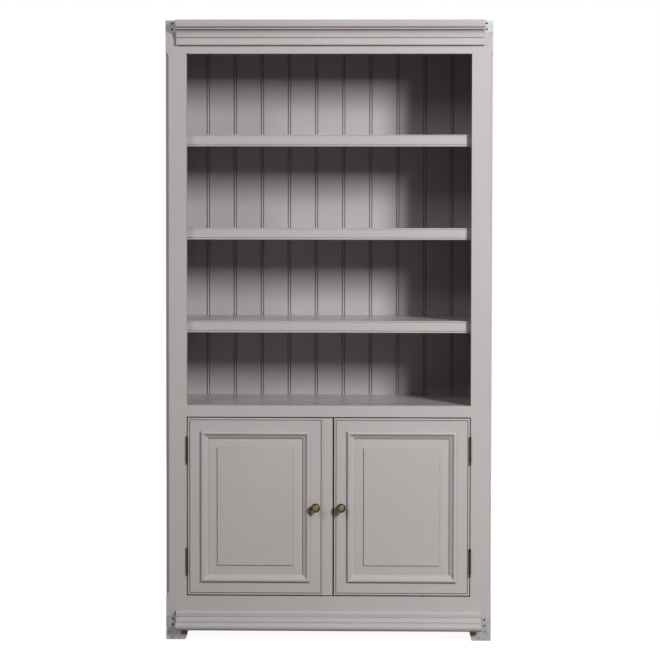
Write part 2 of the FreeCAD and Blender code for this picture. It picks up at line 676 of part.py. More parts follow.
def back_board(name, tongue, bead):
    """One back board: its face is at y = 0, its left edge at x = 0."""
    start = "back_tongue_start"
    end = "(back_tongue_start + back_tongue_thickness)"
    radius = "(back_bead / 2)"
    corners = [("0", "back_thickness")]
    if tongue:
        corners += [("0", end), ("-back_tongue_length", end), ("-back_tongue_length", start), ("0", start),
                    ("0", radius), ("back_quirk", radius), ("back_quirk", "0")]
    else:
        corners += [("0", "0")]
    if bead:
        quirk = f"({BACK_PITCH} - back_bead - back_quirk)"
        root = f"({BACK_PITCH} - back_tongue_length - back_tongue_play)"
        corners += [
            (quirk, "0"), (quirk, radius), (f"{BACK_PITCH} - back_bead", radius),
            (BACK_PITCH, radius, f"{BACK_PITCH} - {radius}", radius, 1),
            (BACK_PITCH, f"{start} - back_tongue_play"), (root, f"{start} - back_tongue_play"),
            (root, f"{end} + back_tongue_play"), (BACK_PITCH, f"{end} + back_tongue_play")]
    else:
        corners += [(BACK_PITCH, "0")]
    corners += [(BACK_PITCH, "back_thickness")]
    return extruded(name, "XY_Plane", corners, f"case_height - {BASE_UNDERSIDE}")


def make_back():
    """Tongue and groove boards side by side across the back."""
    count = int(value("back_board_count"))
    masters = {
        "first": back_board("back_board_first", False, True),
        "inner": back_board("back_board_inner", True, True),
        "last": back_board("back_board_last", True, False),
    }
    boards = []
    for number in range(count):
        kind = "first" if number == 0 else "last" if number == count - 1 else "inner"
        boards.append(copy_of(masters[kind], f"back_board_{number + 1}",
                              f"{number} * {BACK_PITCH} - {BACK_HALF}", BOARD_BACK, BASE_UNDERSIDE))
    keep(group("back_boards", boards))


def make_foot(word, side, row):
    """Foot block under the base board, let past the side panel; row is front or rear."""
    depth = "(front_foot_depth - frame_thickness)" if row == "front" else "rear_foot_depth"
    back = f"{FRAME_BACK} + {depth}" if row == "front" else BACK
    corners = [(f"({OPEN_HALF} + foot_bevel_width)", "0"), (CASE_HALF, "0"), (CASE_HALF, "foot_height"),
               (INNER_HALF, "foot_height"), (INNER_HALF, BASE_UNDERSIDE), (OPEN_HALF, BASE_UNDERSIDE),
               (OPEN_HALF, "foot_bevel_height")]
    body = extruded(f"{row}_foot_{word}", "XZ_Plane", [(f"{side} * {x}", z) for x, z in corners], depth)
    keep(place(body, y=back))


# ---------------------------------------------------------------- mouldings

def make_crown():
    """Crown moulding across the front, its ends cut square."""
    arc_x = "(crown_projection - crown_nose)"
    arc_z = "(crown_height - crown_lip)"
    foot_x = f"({arc_x} + crown_nose * cos(crown_nose_turn * 1 deg))"
    foot_z = f"({arc_z} - crown_nose * sin(crown_nose_turn * 1 deg))"
    under_x = f"({foot_x} - crown_under)"
    fillet_x = f"({under_x} - crown_soffit)"
    fillet_top = f"({foot_z} - crown_under)"
    fillet_bottom = f"({fillet_top} - crown_fillet)"
    cove_centre = "(crown_cove_foot + crown_cove)"
    cove_x = f"({cove_centre} - crown_cove * cos(crown_cove_turn * 1 deg))"
    cove_top = f"({fillet_bottom} - crown_cove_step)"
    cove_bottom = f"({cove_top} - crown_cove * sin(crown_cove_turn * 1 deg))"
    edge_bottom = f"({cove_bottom} - crown_cove_edge)"
    corners = [
        ("0", "crown_height"), ("0", "0"), ("crown_band_bottom - crown_band_round", "0"),
        ("crown_band_bottom", "crown_band_round"), ("crown_band_top", edge_bottom),
        ("crown_cove_foot - crown_edge_lean", edge_bottom), ("crown_cove_foot", cove_bottom),
        (cove_x, cove_top, cove_centre, cove_bottom, -1),
        (cove_x, fillet_bottom), (fillet_x, fillet_bottom), (fillet_x, fillet_top), (under_x, fillet_top),
        (foot_x, foot_z, under_x, foot_z, 1), ("crown_projection", arc_z, arc_x, arc_z, 1),
        ("crown_projection", "crown_height")]
    length = "case_width - crown_left_gap - crown_right_gap"
    body = extruded("crown_moulding", "YZ_Plane", corners, length, midplane=True)
    keep(place(body, "(crown_left_gap - crown_right_gap) / 2", FRONT, "case_height - crown_drop - crown_height",
               HALF_TURN))


def make_plinth():
    """Plinth moulding across the front, its ends cut square."""
    torus_top = "(2 * plinth_torus)"
    band_bottom = f"({torus_top} + plinth_quirk)"
    band_top = f"({band_bottom} + plinth_band_height)"
    groove = "(plinth_band_bottom - plinth_quirk_depth)"
    bead_middle = "(plinth_height - plinth_bead)"
    bead_foot = "(plinth_bead_centre + plinth_bead * cos(plinth_bead_turn * 1 deg))"
    corners = [
        ("0", "plinth_height"), ("0", "0"), ("plinth_base", "0"),
        ("plinth_base", torus_top, "plinth_base", "plinth_torus", 1),
        (groove, torus_top), (groove, band_bottom), ("plinth_band_bottom", band_bottom),
        ("plinth_band_top", band_top), (bead_foot, band_top),
        (bead_foot, f"{bead_middle} - plinth_bead * sin(plinth_bead_turn * 1 deg)"),
        ("plinth_bead_centre", "plinth_height", "plinth_bead_centre", bead_middle, 1)]
    body = extruded("plinth_moulding", "YZ_Plane", corners, "case_width - 2 * plinth_end_gap", midplane=True)
    keep(place(body, "0", FRONT, "plinth_bottom", HALF_TURN))


# ---------------------------------------------------------------- steel plates

def make_corner_plate(word, side, level):
    """Steel plate let into the stile, its outer half with two free holes for whatever joins the case."""
    name = f"corner_plate_{level}_{word}"
    bottom = corner_plate_bottoms()[level]
    blank = box(name + "_blank", mirrored(side, f"{CASE_HALF} - corner_plate_width", CASE_HALF),
                (FRONT, f"{FRONT} + plate_thickness"), (bottom, f"{bottom} + plate_size"))
    tools = [cylinder(f"{name}_hole_{number}", "plate_hole_radius", "plate_thickness",
                      f"{side} * ({CASE_HALF} - plate_hole_inset)", FRONT, height, FACING_BACK)
             for number, height in enumerate(plate_hole_heights(bottom))]
    first = 0 if level == "top" else 2
    tools += [countersink(f"{name}_sink_{number}", *PLATE_SCREW, "plate_thickness", x, FRONT, z, FACING_FRONT)
              for number, (x, z) in enumerate(plate_screw_places(side)[first:first + 2])]
    keep(cut(name, blank, tools))


def make_foot_plate(word, side):
    """Steel plate let into the front of a foot, held by two screws on its diagonal."""
    name = "foot_plate_" + word
    blank = box(name + "_blank", foot_plate_span(side), (FRONT, f"{FRONT} + plate_thickness"), ("0", "plate_size"))
    tools = [countersink(f"{name}_sink_{number}", *PLATE_SCREW, "plate_thickness", x, FRONT, z, FACING_FRONT)
             for number, (x, z) in enumerate(plate_screw_places(side)[4:])]
    keep(cut(name, blank, tools))


def make_plate_screws():
    """Screws of all the steel plates."""
    master = countersunk("plate_screw", *PLATE_SCREW, "screw_length")
    places = [place_xz for side in SIDES.values() for place_xz in plate_screw_places(side)]
    keep(group("plate_screws", [copy_of(master, f"plate_screw_{number + 1}", x, FRONT, z, FACING_FRONT)
                                for number, (x, z) in enumerate(places)]))


# ---------------------------------------------------------------- shelves

def make_nosing(number, top):
    """Edging along the front of a loose shelf, a bead along its top and its bottom edge."""
    low_radius = "(nosing_bottom_bead / 2)"
    high_radius = "(nosing_top_bead / 2)"
    low_x = f"(nosing_thickness - {low_radius})"
    high_x = f"(nosing_thickness - {high_radius})"
    high_start = "(nosing_height - nosing_top_bead)"
    corners = [
        ("0", "nosing_height"), ("0", "0"), (low_x, "0"),
        (low_x, "nosing_bottom_bead", low_x, low_radius, 1),
        (low_x, "nosing_bottom_bead + nosing_quirk"), ("nosing_thickness", "nosing_bottom_bead + nosing_quirk"),
        ("nosing_thickness", f"{high_start} - nosing_quirk"), (high_x, f"{high_start} - nosing_quirk"),
        (high_x, high_start), (high_x, "nosing_height", high_x, f"{high_start} + {high_radius}", 1)]
    body = extruded(f"shelf_nosing_{number}", "YZ_Plane", corners, f"2 * {SHELF_HALF}", midplane=True)
    keep(place(body, "0", f"{SHELF_FRONT} + nosing_thickness", f"{top} - nosing_height", HALF_TURN))


def make_shelves():
    """Loose shelves on their pins, the upper ones with an edging."""
    for name, (top, thickness, front) in shelf_tops().items():
        edge = front if name == "cupboard_shelf" else f"{front} + nosing_thickness"
        keep(box(name, (f"-{SHELF_HALF}", SHELF_HALF), (edge, SHELF_BACK), (f"{top} - {thickness}", top)))
        if name != "cupboard_shelf":
            make_nosing(name[-1], top)


def make_pins():
    """Shelf pins in the side panels."""
    master = turned("shelf_pin", [
        ("0", "-pin_hole_depth"), ("pin_radius", "-pin_hole_depth"), ("pin_radius", "0"), ("pin_collar_radius", "0"),
        ("pin_collar_radius", "pin_collar_thickness"), ("pin_radius", "pin_collar_thickness"),
        ("pin_radius", "pin_length"), ("0", "pin_length")])
    pins = []
    for word, side in SIDES.items():
        for number, (y, z) in enumerate(pin_places()):
            pins.append(copy_of(master, f"shelf_pin_{word}_{number + 1}", f"{side} * {INNER_HALF}", y, z,
                                sideways(-side)))
    keep(group("shelf_pins", pins))


# ---------------------------------------------------------------- doors

class Door:
    """Sizes and places that the pieces of one door share."""

    def __init__(self, word, side):
        self.name = "door_" + word
        self.word = word
        self.side = side
        self.outline = self.make_outline()

    def make_outline(self):
        """Whole door as one slab, its front edges rounded and the groove of its bead cut in."""
        name = self.name + "_slab"
        body = new_body(name)
        low, high = mirrored(self.side, DOOR_INNER, DOOR_OUTER)
        sketch = new_sketch(body, name + "_outline", "XZ_Plane")
        draw(sketch, rectangle((low, high), (DOOR_BOTTOM, DOOR_TOP)))
        slab = pad(body, sketch, "door_thickness")
        doc.recompute()
        front = min(range(len(slab.Shape.Faces)), key=lambda number: slab.Shape.Faces[number].CenterOfMass.y)
        rounding = body.newObject("PartDesign::Fillet", name + "_rounding")
        rounding.Base = (slab, [f"Face{front + 1}"])
        rounding.setExpression("Radius", linked("door_bead_round"))
        groove = new_sketch(body, name + "_quirk", "XZ_Plane", "door_thickness")
        for inset in ("door_bead", "door_bead + door_quirk_width"):
            draw(groove, rectangle((f"{low} + {inset}", f"{high} - ({inset})"),
                                   (f"{DOOR_BOTTOM} + {inset}", f"{DOOR_TOP} - ({inset})")))
        pocket = body.newObject("PartDesign::Pocket", name + "_groove")
        pocket.Profile = groove
        pocket.setExpression("Length", linked("door_quirk_depth"))
        return place(body, y=DOOR_BACK)

    def across(self, inner, outer):
        """Span in x between two distances from the middle of the case."""
        return mirrored(self.side, inner, outer)

    def member(self, word, blank, tools):
        """Stile or rail: cut to its joints, then shaped as part of the door's outline."""
        name = f"{self.name}_{word}"
        cut_blank = cut(name + "_cut", blank, tools) if tools else blank
        keep(common(name, cut_blank, self.outline))

    def groove_y(self):
        """Front to back span of the panel's groove and of the tenons."""
        return (f"{FRONT} + panel_edge_front", PANEL_BACK)

    def tenon_spans(self):
        """Heights of the upper and lower tenons."""
        inner = "(door_member_width - panel_groove_depth)"
        return [(f"{DOOR_TOP} - {inner}", f"{DOOR_TOP} - door_tenon_shoulder"),
                (f"{DOOR_BOTTOM} + door_tenon_shoulder", f"{DOOR_BOTTOM} + {inner}")]

    def make_stiles(self):
        """Hinge stile and meeting stile."""
        inner = "(door_member_width - panel_groove_depth)"
        reach = "(door_tenon_length + tenon_play)"
        spans = {
            "hinge_stile": (f"({DOOR_OUTER} - door_member_width)", DOOR_OUTER, 1),
            "meeting_stile": (DOOR_INNER, f"({DOOR_INNER} + door_member_width)", -1),
        }
        for word, (near, far, outward) in spans.items():
            name = f"{self.name}_{word}"
            edge = near if outward > 0 else far
            blank = box(name + "_blank", self.across(near, far), (FRONT, DOOR_BACK), (DOOR_BOTTOM, DOOR_TOP))

            def inwards(depth):
                return self.across(edge, f"{edge} + {depth}") if outward > 0 else self.across(f"{edge} - {depth}", edge)

            tools = [box(name + "_groove", inwards("panel_groove_depth"), self.groove_y(),
                         (f"{DOOR_BOTTOM} + {inner}", f"{DOOR_TOP} - {inner}"))]
            tools += [box(f"{name}_mortise_{number}", inwards(reach), self.groove_y(), span)
                      for number, span in enumerate(self.tenon_spans())]
            tools += self.hinge_pilots() if outward > 0 else [self.knob_hole()]
            self.member(word, blank, tools)

    def hinge_pilots(self):
        """Pilot holes for the hinge screws in the door's edge."""
        return [pilot(f"{self.name}_hinge_pilot_{number}", "small_shank_radius", "small_screw_length",
                      hinge_screw_x(self.side, True), HINGE_SCREW_Y, height, sideways(self.side))
                for number, height in enumerate(hinge_screw_heights())]

    def knob_hole(self):
        """Through hole for the knob's screw."""
        return cylinder(self.name + "_knob_hole", "knob_screw_radius + knob_hole_play", "door_thickness",
                        f"{self.side} * {KNOB_X}", FRONT, DOOR_MIDDLE, FACING_BACK)

    def make_rails(self):
        """Top and bottom rail with their tenons."""
        near, far = f"({DOOR_INNER} + door_member_width)", f"({DOOR_OUTER} - door_member_width)"
        heights = {
            "top_rail": (f"{DOOR_TOP} - door_member_width", DOOR_TOP),
            "bottom_rail": (DOOR_BOTTOM, f"{DOOR_BOTTOM} + door_member_width"),
        }
        for word, tenon, (low, high) in zip(heights, self.tenon_spans(), heights.values()):
            name = f"{self.name}_{word}"
            shoulder = box(name + "_shoulder", self.across(near, far), (FRONT, DOOR_BACK), (low, high))
            tongue = box(name + "_tenon", self.across(f"{near} - door_tenon_length", f"{far} + door_tenon_length"),
                         self.groove_y(), tenon)
            blank = fuse(name + "_blank", [shoulder, tongue])
            groove = (low, f"{low} + panel_groove_depth") if word == "top_rail" else \
                (f"{high} - panel_groove_depth", high)
            tools = [box(name + "_groove", self.across(near, far), self.groove_y(), groove)]
            if word == "bottom_rail":
                tools += [pilot(f"{self.name}_plate_pilot_{number}", "small_shank_radius", "small_screw_length",
                                x, y, z, FACING_BACK)
                          for number, (x, y, z) in enumerate(catch_plate_screw_places(self.side))]
            self.member(word, blank, tools)

    def make_panel(self):
        """Raised and fielded panel, its edges in the grooves of the frame."""
        name = self.name + "_panel"
        edge_inset = "(door_member_width - panel_groove_depth + panel_play)"
        slab = box(name + "_edge", self.across(f"{DOOR_INNER} + {edge_inset}", f"{DOOR_OUTER} - {edge_inset}"),
                   self.groove_y(), (f"{DOOR_BOTTOM} + {edge_inset}", f"{DOOR_TOP} - {edge_inset}"))
        field_x = self.across(f"{DOOR_INNER} + panel_field_inset", f"{DOOR_OUTER} - panel_field_inset")
        field_z = (f"{DOOR_BOTTOM} + panel_field_inset", f"{DOOR_TOP} - panel_field_inset")
        field = box(name + "_field", field_x, (f"{FRONT} + panel_field_front", PANEL_BACK), field_z)
        low, high = self.across(f"{DOOR_INNER} + door_member_width", f"{DOOR_OUTER} - door_member_width")
        margin = doc.addObject("Part::Wedge", name + "_margin")
        bind(margin, Xmin=field_x[0], Xmax=field_x[1], Zmin=field_z[0], Zmax=field_z[1],
             Ymin=f"{FRONT} + panel_margin_front", Ymax=f"{FRONT} + panel_edge_front",
             X2min=low, X2max=high, Z2min=f"{DOOR_BOTTOM} + door_member_width",
             Z2max=f"{DOOR_TOP} - door_member_width")
        keep(fuse(name, [slab, margin, field]))

    def make_moulding(self):
        """Four mitred lengths of raised moulding over the joint of frame and panel."""
        name = self.name + "_moulding"
        width = f"(({DOOR_OUTER} - {DOOR_INNER}) - 2 * moulding_inset)"
        height = f"(({DOOR_TOP} - {DOOR_BOTTOM}) - 2 * moulding_inset)"
        middle_x = f"{self.side} * ({DOOR_OUTER} + {DOOR_INNER}) / 2"
        level = mitred_moulding(name + "_level", width)
        upright = mitred_moulding(name + "_upright", height)
        turns = [  # master, x offset, z offset, degrees about the door's normal
            (level, "0", f"{height} / 2", 0), (level, "0", f"-{height} / 2", 180),
            (upright, f"{width} / 2", "0", 90), (upright, f"-{width} / 2", "0", -90)]
        sticks = [copy_of(master, f"{name}_{number + 1}", f"{middle_x} + {x}", FRONT, f"{DOOR_MIDDLE} + {z}",
                          Rotation(Vector(0, 1, 0), angle))
                  for number, (master, x, z, angle) in enumerate(turns)]
        keep(group(name, sticks))

    def make_knob(self):
        """Turned brass knob."""
        head_bottom = "(knob_neck_length + knob_flare)"
        rim_top = f"({head_bottom} + knob_rim_height)"
        dome_radius = "(knob_radius - 2 * knob_rim)"
        ball = f"(({dome_radius} * {dome_radius} + knob_dome_rise * knob_dome_rise) / (2 * knob_dome_rise))"
        bore = "(knob_screw_radius + screw_play)"
        bore_depth = "(knob_screw_bite + screw_hole_extra)"
        body = turned(self.name + "_knob", [
            ("0", bore_depth), (bore, bore_depth), (bore, "0"), ("knob_rose_radius", "0"),
            ("knob_rose_radius", "knob_rose_thickness"), ("knob_neck_radius", "2 * knob_rose_thickness"),
            ("knob_neck_radius", "knob_neck_length"),
            ("knob_neck_radius + knob_flare", head_bottom, "knob_neck_radius + knob_flare", "knob_neck_length", -1),
            ("knob_radius", f"{head_bottom} + knob_rim"), ("knob_radius", rim_top),
            (dome_radius, rim_top, "knob_radius - knob_rim", rim_top, 1),
            ("0", f"{rim_top} + knob_dome_rise", "0", f"{rim_top} + knob_dome_rise - {ball}", 1)])
        keep(place(body, f"{self.side} * {KNOB_X}", FRONT, DOOR_MIDDLE, FACING_FRONT))

    def make_screws(self):
        """Screws that move with the door: hinge leaves, catch plate and knob."""
        name = self.name + "_screws"
        small = countersunk(name + "_small", *SMALL_SCREW, "small_screw_length")
        places = [(hinge_screw_x(self.side, True), HINGE_SCREW_Y, height, sideways(self.side))
                  for height in hinge_screw_heights()]
        places += [(x, y, z, FACING_BACK) for x, y, z in catch_plate_screw_places(self.side)]
        screws = [copy_of(small, f"{name}_{number + 1}", x, y, z, turn)
                  for number, (x, y, z, turn) in enumerate(places)]
        knob_screw = turned(name + "_knob", [
            ("0", "knob_screw_head_height"), ("knob_screw_head_radius", "knob_screw_head_height"),
            ("knob_screw_head_radius", "0"), ("knob_screw_radius", "0"),
            ("knob_screw_radius", "-door_thickness - knob_screw_bite"), ("0", "-door_thickness - knob_screw_bite")])
        screws.append(place(knob_screw, f"{self.side} * {KNOB_X}", DOOR_BACK, DOOR_MIDDLE, FACING_BACK))
        keep(group(name, screws))

    def make_catch_plate(self):
        """Plate on the back of the door that the magnet holds."""
        name = self.name + "_catch_plate"
        blank = box(name + "_blank", around(f"{self.side} * catch_centre", "catch_plate_length"),
                    (DOOR_BACK, f"{DOOR_BACK} + catch_plate_thickness"),
                    around(f"({CATCH_MIDDLE})", "catch_plate_height"))
        tools = [countersink(f"{name}_sink_{number}", *SMALL_SCREW, "catch_plate_thickness", x, y, z, FACING_BACK)
                 for number, (x, y, z) in enumerate(catch_plate_screw_places(self.side))]
        keep(cut(name, blank, tools))


def rectangle(x, y):
    """Corners of a rectangle between two spans."""
    return [(x[0], y[0]), (x[1], y[0]), (x[1], y[1]), (x[0], y[1])]


def mitred_moulding(name, length):
    """Length of panel moulding, mitred at both ends, outer edge upwards, face forwards."""
    nose_y = "(moulding_edge + moulding_nose)"
    turn_x = "moulding_nose + moulding_flat"
    turn_y = f"({nose_y} - moulding_shoulder)"
    cosine, sine = "cos(moulding_turn * 1 deg)", "sin(moulding_turn * 1 deg)"
    joint = (f"{turn_x} + moulding_shoulder * {cosine}", f"{turn_y} + moulding_shoulder * {sine}")
    hollow = (f"{turn_x} + (moulding_shoulder + moulding_hollow) * {cosine}",
              f"{turn_y} + (moulding_shoulder + moulding_hollow) * {sine}")
    run = (f"{hollow[0]} - moulding_hollow * sin(moulding_run * 1 deg)",
           f"{hollow[1]} - moulding_hollow * cos(moulding_run * 1 deg)")
    lap = "(door_member_width - moulding_inset)"
    corners = [  # distance inwards from the outer edge, height over the door's face
        ("0", "0"), ("0", "moulding_edge"), ("moulding_nose", nose_y, "moulding_nose", "moulding_edge", -1),
        (turn_x, nose_y), (*joint, turn_x, turn_y, -1),
        (*run, *hollow, 1), ("moulding_width", "-moulding_inner_drop"), ("moulding_width", "-moulding_tongue"),
        (lap, "-moulding_tongue"), (lap, "0")]
    body = new_body(name)
    outline = [tuple([f"-({corner[1]})", f"-({corner[0]})"]
                     + ([f"-({corner[3]})", f"-({corner[2]})", -corner[4]] if len(corner) > 2 else []))
               for corner in corners]
    pad(body, draw(new_sketch(body, name + "_outline", "YZ_Plane"), outline), length, midplane=True)
    mitres = new_sketch(body, name + "_mitres", "XZ_Plane")
    for sign in (1, -1):
        end = f"{sign} * {length} / 2"
        draw(mitres, [(end, "0"), (end, "-moulding_width"), (f"{end} - {sign} * moulding_width", "-moulding_width")])
    pocket = body.newObject("PartDesign::Pocket", name + "_mitre_cut")
    pocket.Profile = mitres
    pocket.SideType = "Symmetric"
    pocket.Type = "ThroughAll"
    return body


def make_meeting_strip():
    """Flat strip glued to the left door's meeting edge."""
    keep(box("door_left_meeting_strip", (f"-{DOOR_INNER}", f"meeting_strip_width - {DOOR_INNER}"),
             (FRONT, DOOR_BACK), (DOOR_BOTTOM, DOOR_TOP)))


# ---------------------------------------------------------------- hinges

KNUCKLE = "((hinge_barrel_length - 4 * hinge_knuckle_gap) / 5)"


def hinge_leaf(name, side, of_door, centre):
    """Leaf of a butt hinge with its own knuckles: the frame's leaf has three, the door's leaf two."""
    inner = f"({HINGE_AXIS_X} + hinge_leaf_gap / 2)"
    outer = f"({inner} + {LEAF_THICKNESS})"
    if of_door:
        outer = f"({HINGE_AXIS_X} - hinge_leaf_gap / 2)"
        inner = f"({outer} - {LEAF_THICKNESS})"
    thickness = mirrored(side, inner, outer)
    leaf_front = f"({HINGE_AXIS_Y} + hinge_leaf_start)"
    bottom = f"({centre} - hinge_barrel_length / 2)"
    solids = [box(name + "_plate", thickness, (leaf_front, f"{leaf_front} + hinge_leaf_depth"),
                  (bottom, f"{bottom} + hinge_barrel_length"))]
    for number in (1, 3) if of_door else (0, 2, 4):
        low = f"({bottom} + {number} * ({KNUCKLE} + hinge_knuckle_gap))"
        solids.append(box(f"{name}_tab_{number}", thickness, (HINGE_AXIS_Y, leaf_front), (low, f"{low} + {KNUCKLE}")))
        solids.append(cylinder(f"{name}_knuckle_{number}", "hinge_barrel_radius", KNUCKLE,
                               f"{side} * {HINGE_AXIS_X}", HINGE_AXIS_Y, low))
    tools = [cylinder(name + "_bore", "hinge_pin_radius + hinge_pin_play", "hinge_barrel_length",
                      f"{side} * {HINGE_AXIS_X}", HINGE_AXIS_Y, bottom)]
    for step in (-1, 0, 1):
        tools.append(countersink(f"{name}_sink_{step + 1}", *SMALL_SCREW, LEAF_THICKNESS,
                                 hinge_screw_x(side, of_door), HINGE_SCREW_Y,
                                 f"{centre} + {step} * hinge_screw_spacing", sideways(side if of_door else -side)))
    return cut(name, fuse(name + "_blank", solids), tools)


def make_hinges():
    """Leaves and pins of the four butt hinges."""
    pin = turned("hinge_pin", [
        ("0", "-hinge_barrel_length / 2 - hinge_finial_collar - 2 * hinge_finial_radius"),
        ("hinge_finial_neck", "-hinge_barrel_length / 2 - hinge_finial_collar",
         "0", "-hinge_barrel_length / 2 - hinge_finial_collar - hinge_finial_radius", 1),
        ("hinge_finial_neck", "-hinge_barrel_length / 2"), ("hinge_pin_radius", "-hinge_barrel_length / 2"),
        ("hinge_pin_radius", "hinge_barrel_length / 2"), ("hinge_finial_neck", "hinge_barrel_length / 2"),
        ("hinge_finial_neck", "hinge_barrel_length / 2 + hinge_finial_collar"),
        ("0", "hinge_barrel_length / 2 + hinge_finial_collar + 2 * hinge_finial_radius",
         "0", "hinge_barrel_length / 2 + hinge_finial_collar + hinge_finial_radius", 1)])
    pins = []
    for word, side in SIDES.items():
        for owner, of_door in (("frame_hinge_leaves_" + word, False), (f"door_{word}_hinge_leaves", True)):
            keep(group(owner, [hinge_leaf(f"{owner}_{level}", side, of_door, centre)
                               for level, centre in HINGE_HEIGHTS.items()]))
        pins += [copy_of(pin, f"hinge_pin_{word}_{level}", f"{side} * {HINGE_AXIS_X}", HINGE_AXIS_Y, centre)
                 for level, centre in HINGE_HEIGHTS.items()]
    keep(group("hinge_pins", pins))
    screw = countersunk("frame_hinge_screw", *SMALL_SCREW, "small_screw_length")
    keep(group("frame_hinge_screws", [
        copy_of(screw, f"frame_hinge_screw_{word}_{number}", hinge_screw_x(side, False), HINGE_SCREW_Y, height,
                sideways(-side))
        for word, side in SIDES.items() for number, height in enumerate(hinge_screw_heights())]))


# ---------------------------------------------------------------- catches

CATCH_FRONT = f"({DOOR_BACK} + catch_plate_thickness + catch_gap)"
CATCH_MIDDLE = "bottom_rail_top + catch_height / 2"


def catch_screw_places():
    """Heads of the screws that hold the two catches."""
    return [(f"{side} * catch_centre {sign} catch_screw_spacing / 2", f"{CATCH_FRONT} + catch_depth / 2",
             "bottom_rail_top + catch_height") for side in SIDES.values() for sign in "-+"]


def catch_plate_screw_places(side):
    """Heads of the screws that hold the plate on one door."""
    return [(f"{side} * catch_centre {sign} catch_plate_screw_spacing / 2",
             f"{DOOR_BACK} + catch_plate_thickness", CATCH_MIDDLE) for sign in "-+"]


def make_catches():
    """Magnetic catches on the cupboard floor, with their screws."""
    catches = []
    for number, (word, side) in enumerate(SIDES.items()):
        name = "door_catch_" + word
        blank = box(name + "_blank", around(f"{side} * catch_centre", "catch_length"),
                    (CATCH_FRONT, f"{CATCH_FRONT} + catch_depth"),
                    ("bottom_rail_top", "bottom_rail_top + catch_height"))
        tools = [countersink(f"{name}_sink_{index}", *SMALL_SCREW, "catch_height", x, y, z, Rotation())
                 for index, (x, y, z) in enumerate(catch_screw_places()[2 * number:2 * number + 2])]
        catches.append(cut(name, blank, tools))
    keep(group("door_catches", catches))
    screw = countersunk("catch_screw", *SMALL_SCREW, "catch_screw_length")
    keep(group("catch_screws", [copy_of(screw, f"catch_screw_{number + 1}", x, y, z)
                                for number, (x, y, z) in enumerate(catch_screw_places())]))


# ---------------------------------------------------------------- whole bookcase

def build():
    """Make every sub-part."""
    fill_sheet()
    for name in RAILS:
        make_rail(name)
    for name in BOARDS:
        make_board(name)
    make_back()
    make_crown()
    make_plinth()
    make_shelves()
    make_pins()
    make_hinges()
    make_catches()
    make_plate_screws()
    for word, side in SIDES.items():
        make_stile(word, side)
        make_side(word, side)
        make_foot(word, side, "front")
        make_foot(word, side, "rear")
        make_foot_plate(word, side)
        for level in corner_plate_bottoms():
            make_corner_plate(word, side, level)
        door = Door(word, side)
        door.make_stiles()
        door.make_rails()
        door.make_panel()
        door.make_moulding()
        door.make_knob()
        door.make_screws()
        door.make_catch_plate()
    make_meeting_strip()
    doc.recompute()


def check():
    """Stop if any object failed or any sub-part's shape is empty or faulty."""
    for item in doc.Objects:
        if {"Invalid", "Error"} & set(item.State):
            raise RuntimeError(f"{item.Name} ({item.Label}) failed: {item.State}")
    for item in parts:
        shape = Part.getShape(item)
        if shape.isNull() or not shape.isValid() or not shape.Solids:
            raise RuntimeError(f"{item.Label} has no valid shape")


def write():
    """Write one STEP file for each sub-part."""
    os.makedirs("parts", exist_ok=True)
    for item in parts:
        item.Shape.exportStep(f"parts/{item.Label}.step")
        solids = item.Shape.Solids
        print(f"{item.Label}: {len(solids)} solid(s), {sum(solid.Volume for solid in solids) / 1000:.1f} cm3")


build()
check()
write()
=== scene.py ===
"""Looks of a painted bookcase with two cabinet doors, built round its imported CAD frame.

The CAD pieces keep their shapes and get their finishes here. The turned knobs and the cross-head
screws are modelled in full and stand for their plain CAD nodes. Everything is in metres, in the
frame of the CAD part: X runs to the right, Y to the back and Z up.
"""

import logging
import math
from dataclasses import dataclass
from enum import Enum

import bpy
from mathutils import Matrix, Vector


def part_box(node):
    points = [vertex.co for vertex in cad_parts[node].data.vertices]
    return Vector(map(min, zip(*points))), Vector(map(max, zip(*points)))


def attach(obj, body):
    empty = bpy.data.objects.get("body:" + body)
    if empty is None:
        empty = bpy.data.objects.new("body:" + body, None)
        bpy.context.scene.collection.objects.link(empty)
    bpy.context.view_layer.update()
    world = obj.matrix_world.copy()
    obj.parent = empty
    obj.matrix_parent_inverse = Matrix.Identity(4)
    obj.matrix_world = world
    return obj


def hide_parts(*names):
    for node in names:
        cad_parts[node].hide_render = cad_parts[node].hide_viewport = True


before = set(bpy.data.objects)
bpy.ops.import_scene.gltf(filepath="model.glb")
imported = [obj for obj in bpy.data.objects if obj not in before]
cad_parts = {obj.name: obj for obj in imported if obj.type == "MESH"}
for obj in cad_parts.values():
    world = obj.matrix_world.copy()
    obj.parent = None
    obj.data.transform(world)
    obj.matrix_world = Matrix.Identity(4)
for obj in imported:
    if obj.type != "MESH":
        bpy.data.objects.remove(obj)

log = logging.getLogger("bookcase")

CABINET = "cabinet"
MM = 0.001
WEAR_AND_RIM_SHADE = "wear_and_rim_shade"
# Most values of a noise lie between these.
NOISE_LOW, NOISE_HIGH = 0.3, 0.7
# Vertices of new pieces and of CAD copies are merged within these distances.
MERGE_NEW, MERGE_CAD = 0.5e-6, 1e-6

Colour = tuple[float, float, float, float]
Point = tuple[float, float, float]
Socket = bpy.types.NodeSocket
Input = Socket | float | tuple
Material = bpy.types.Material
Piece = bpy.types.Object
Names = tuple[str, ...]
# Rings of a turned piece: the distance of each and its change of radius.
Steps = tuple[tuple[float, float], ...]


class GrainRun(Enum):
    """The way the timber of a painted piece runs, which the brush marks follow."""

    UPRIGHT = "upright"
    ACROSS = "across"

    @property
    def stretch(self) -> Point:
        """Scale of a pattern whose marks lie along the timber."""
        along, over = 2.5, 210.0
        return (over, over, along) if self is GrainRun.UPRIGHT else (along, over, over)


class Hand(Enum):
    """The side of the case that a door hangs on, as seen from the front."""

    LEFT = "left"
    RIGHT = "right"

    @property
    def door(self) -> str:
        """Name of the CAD body of that door."""
        return f"door_{self.value}"


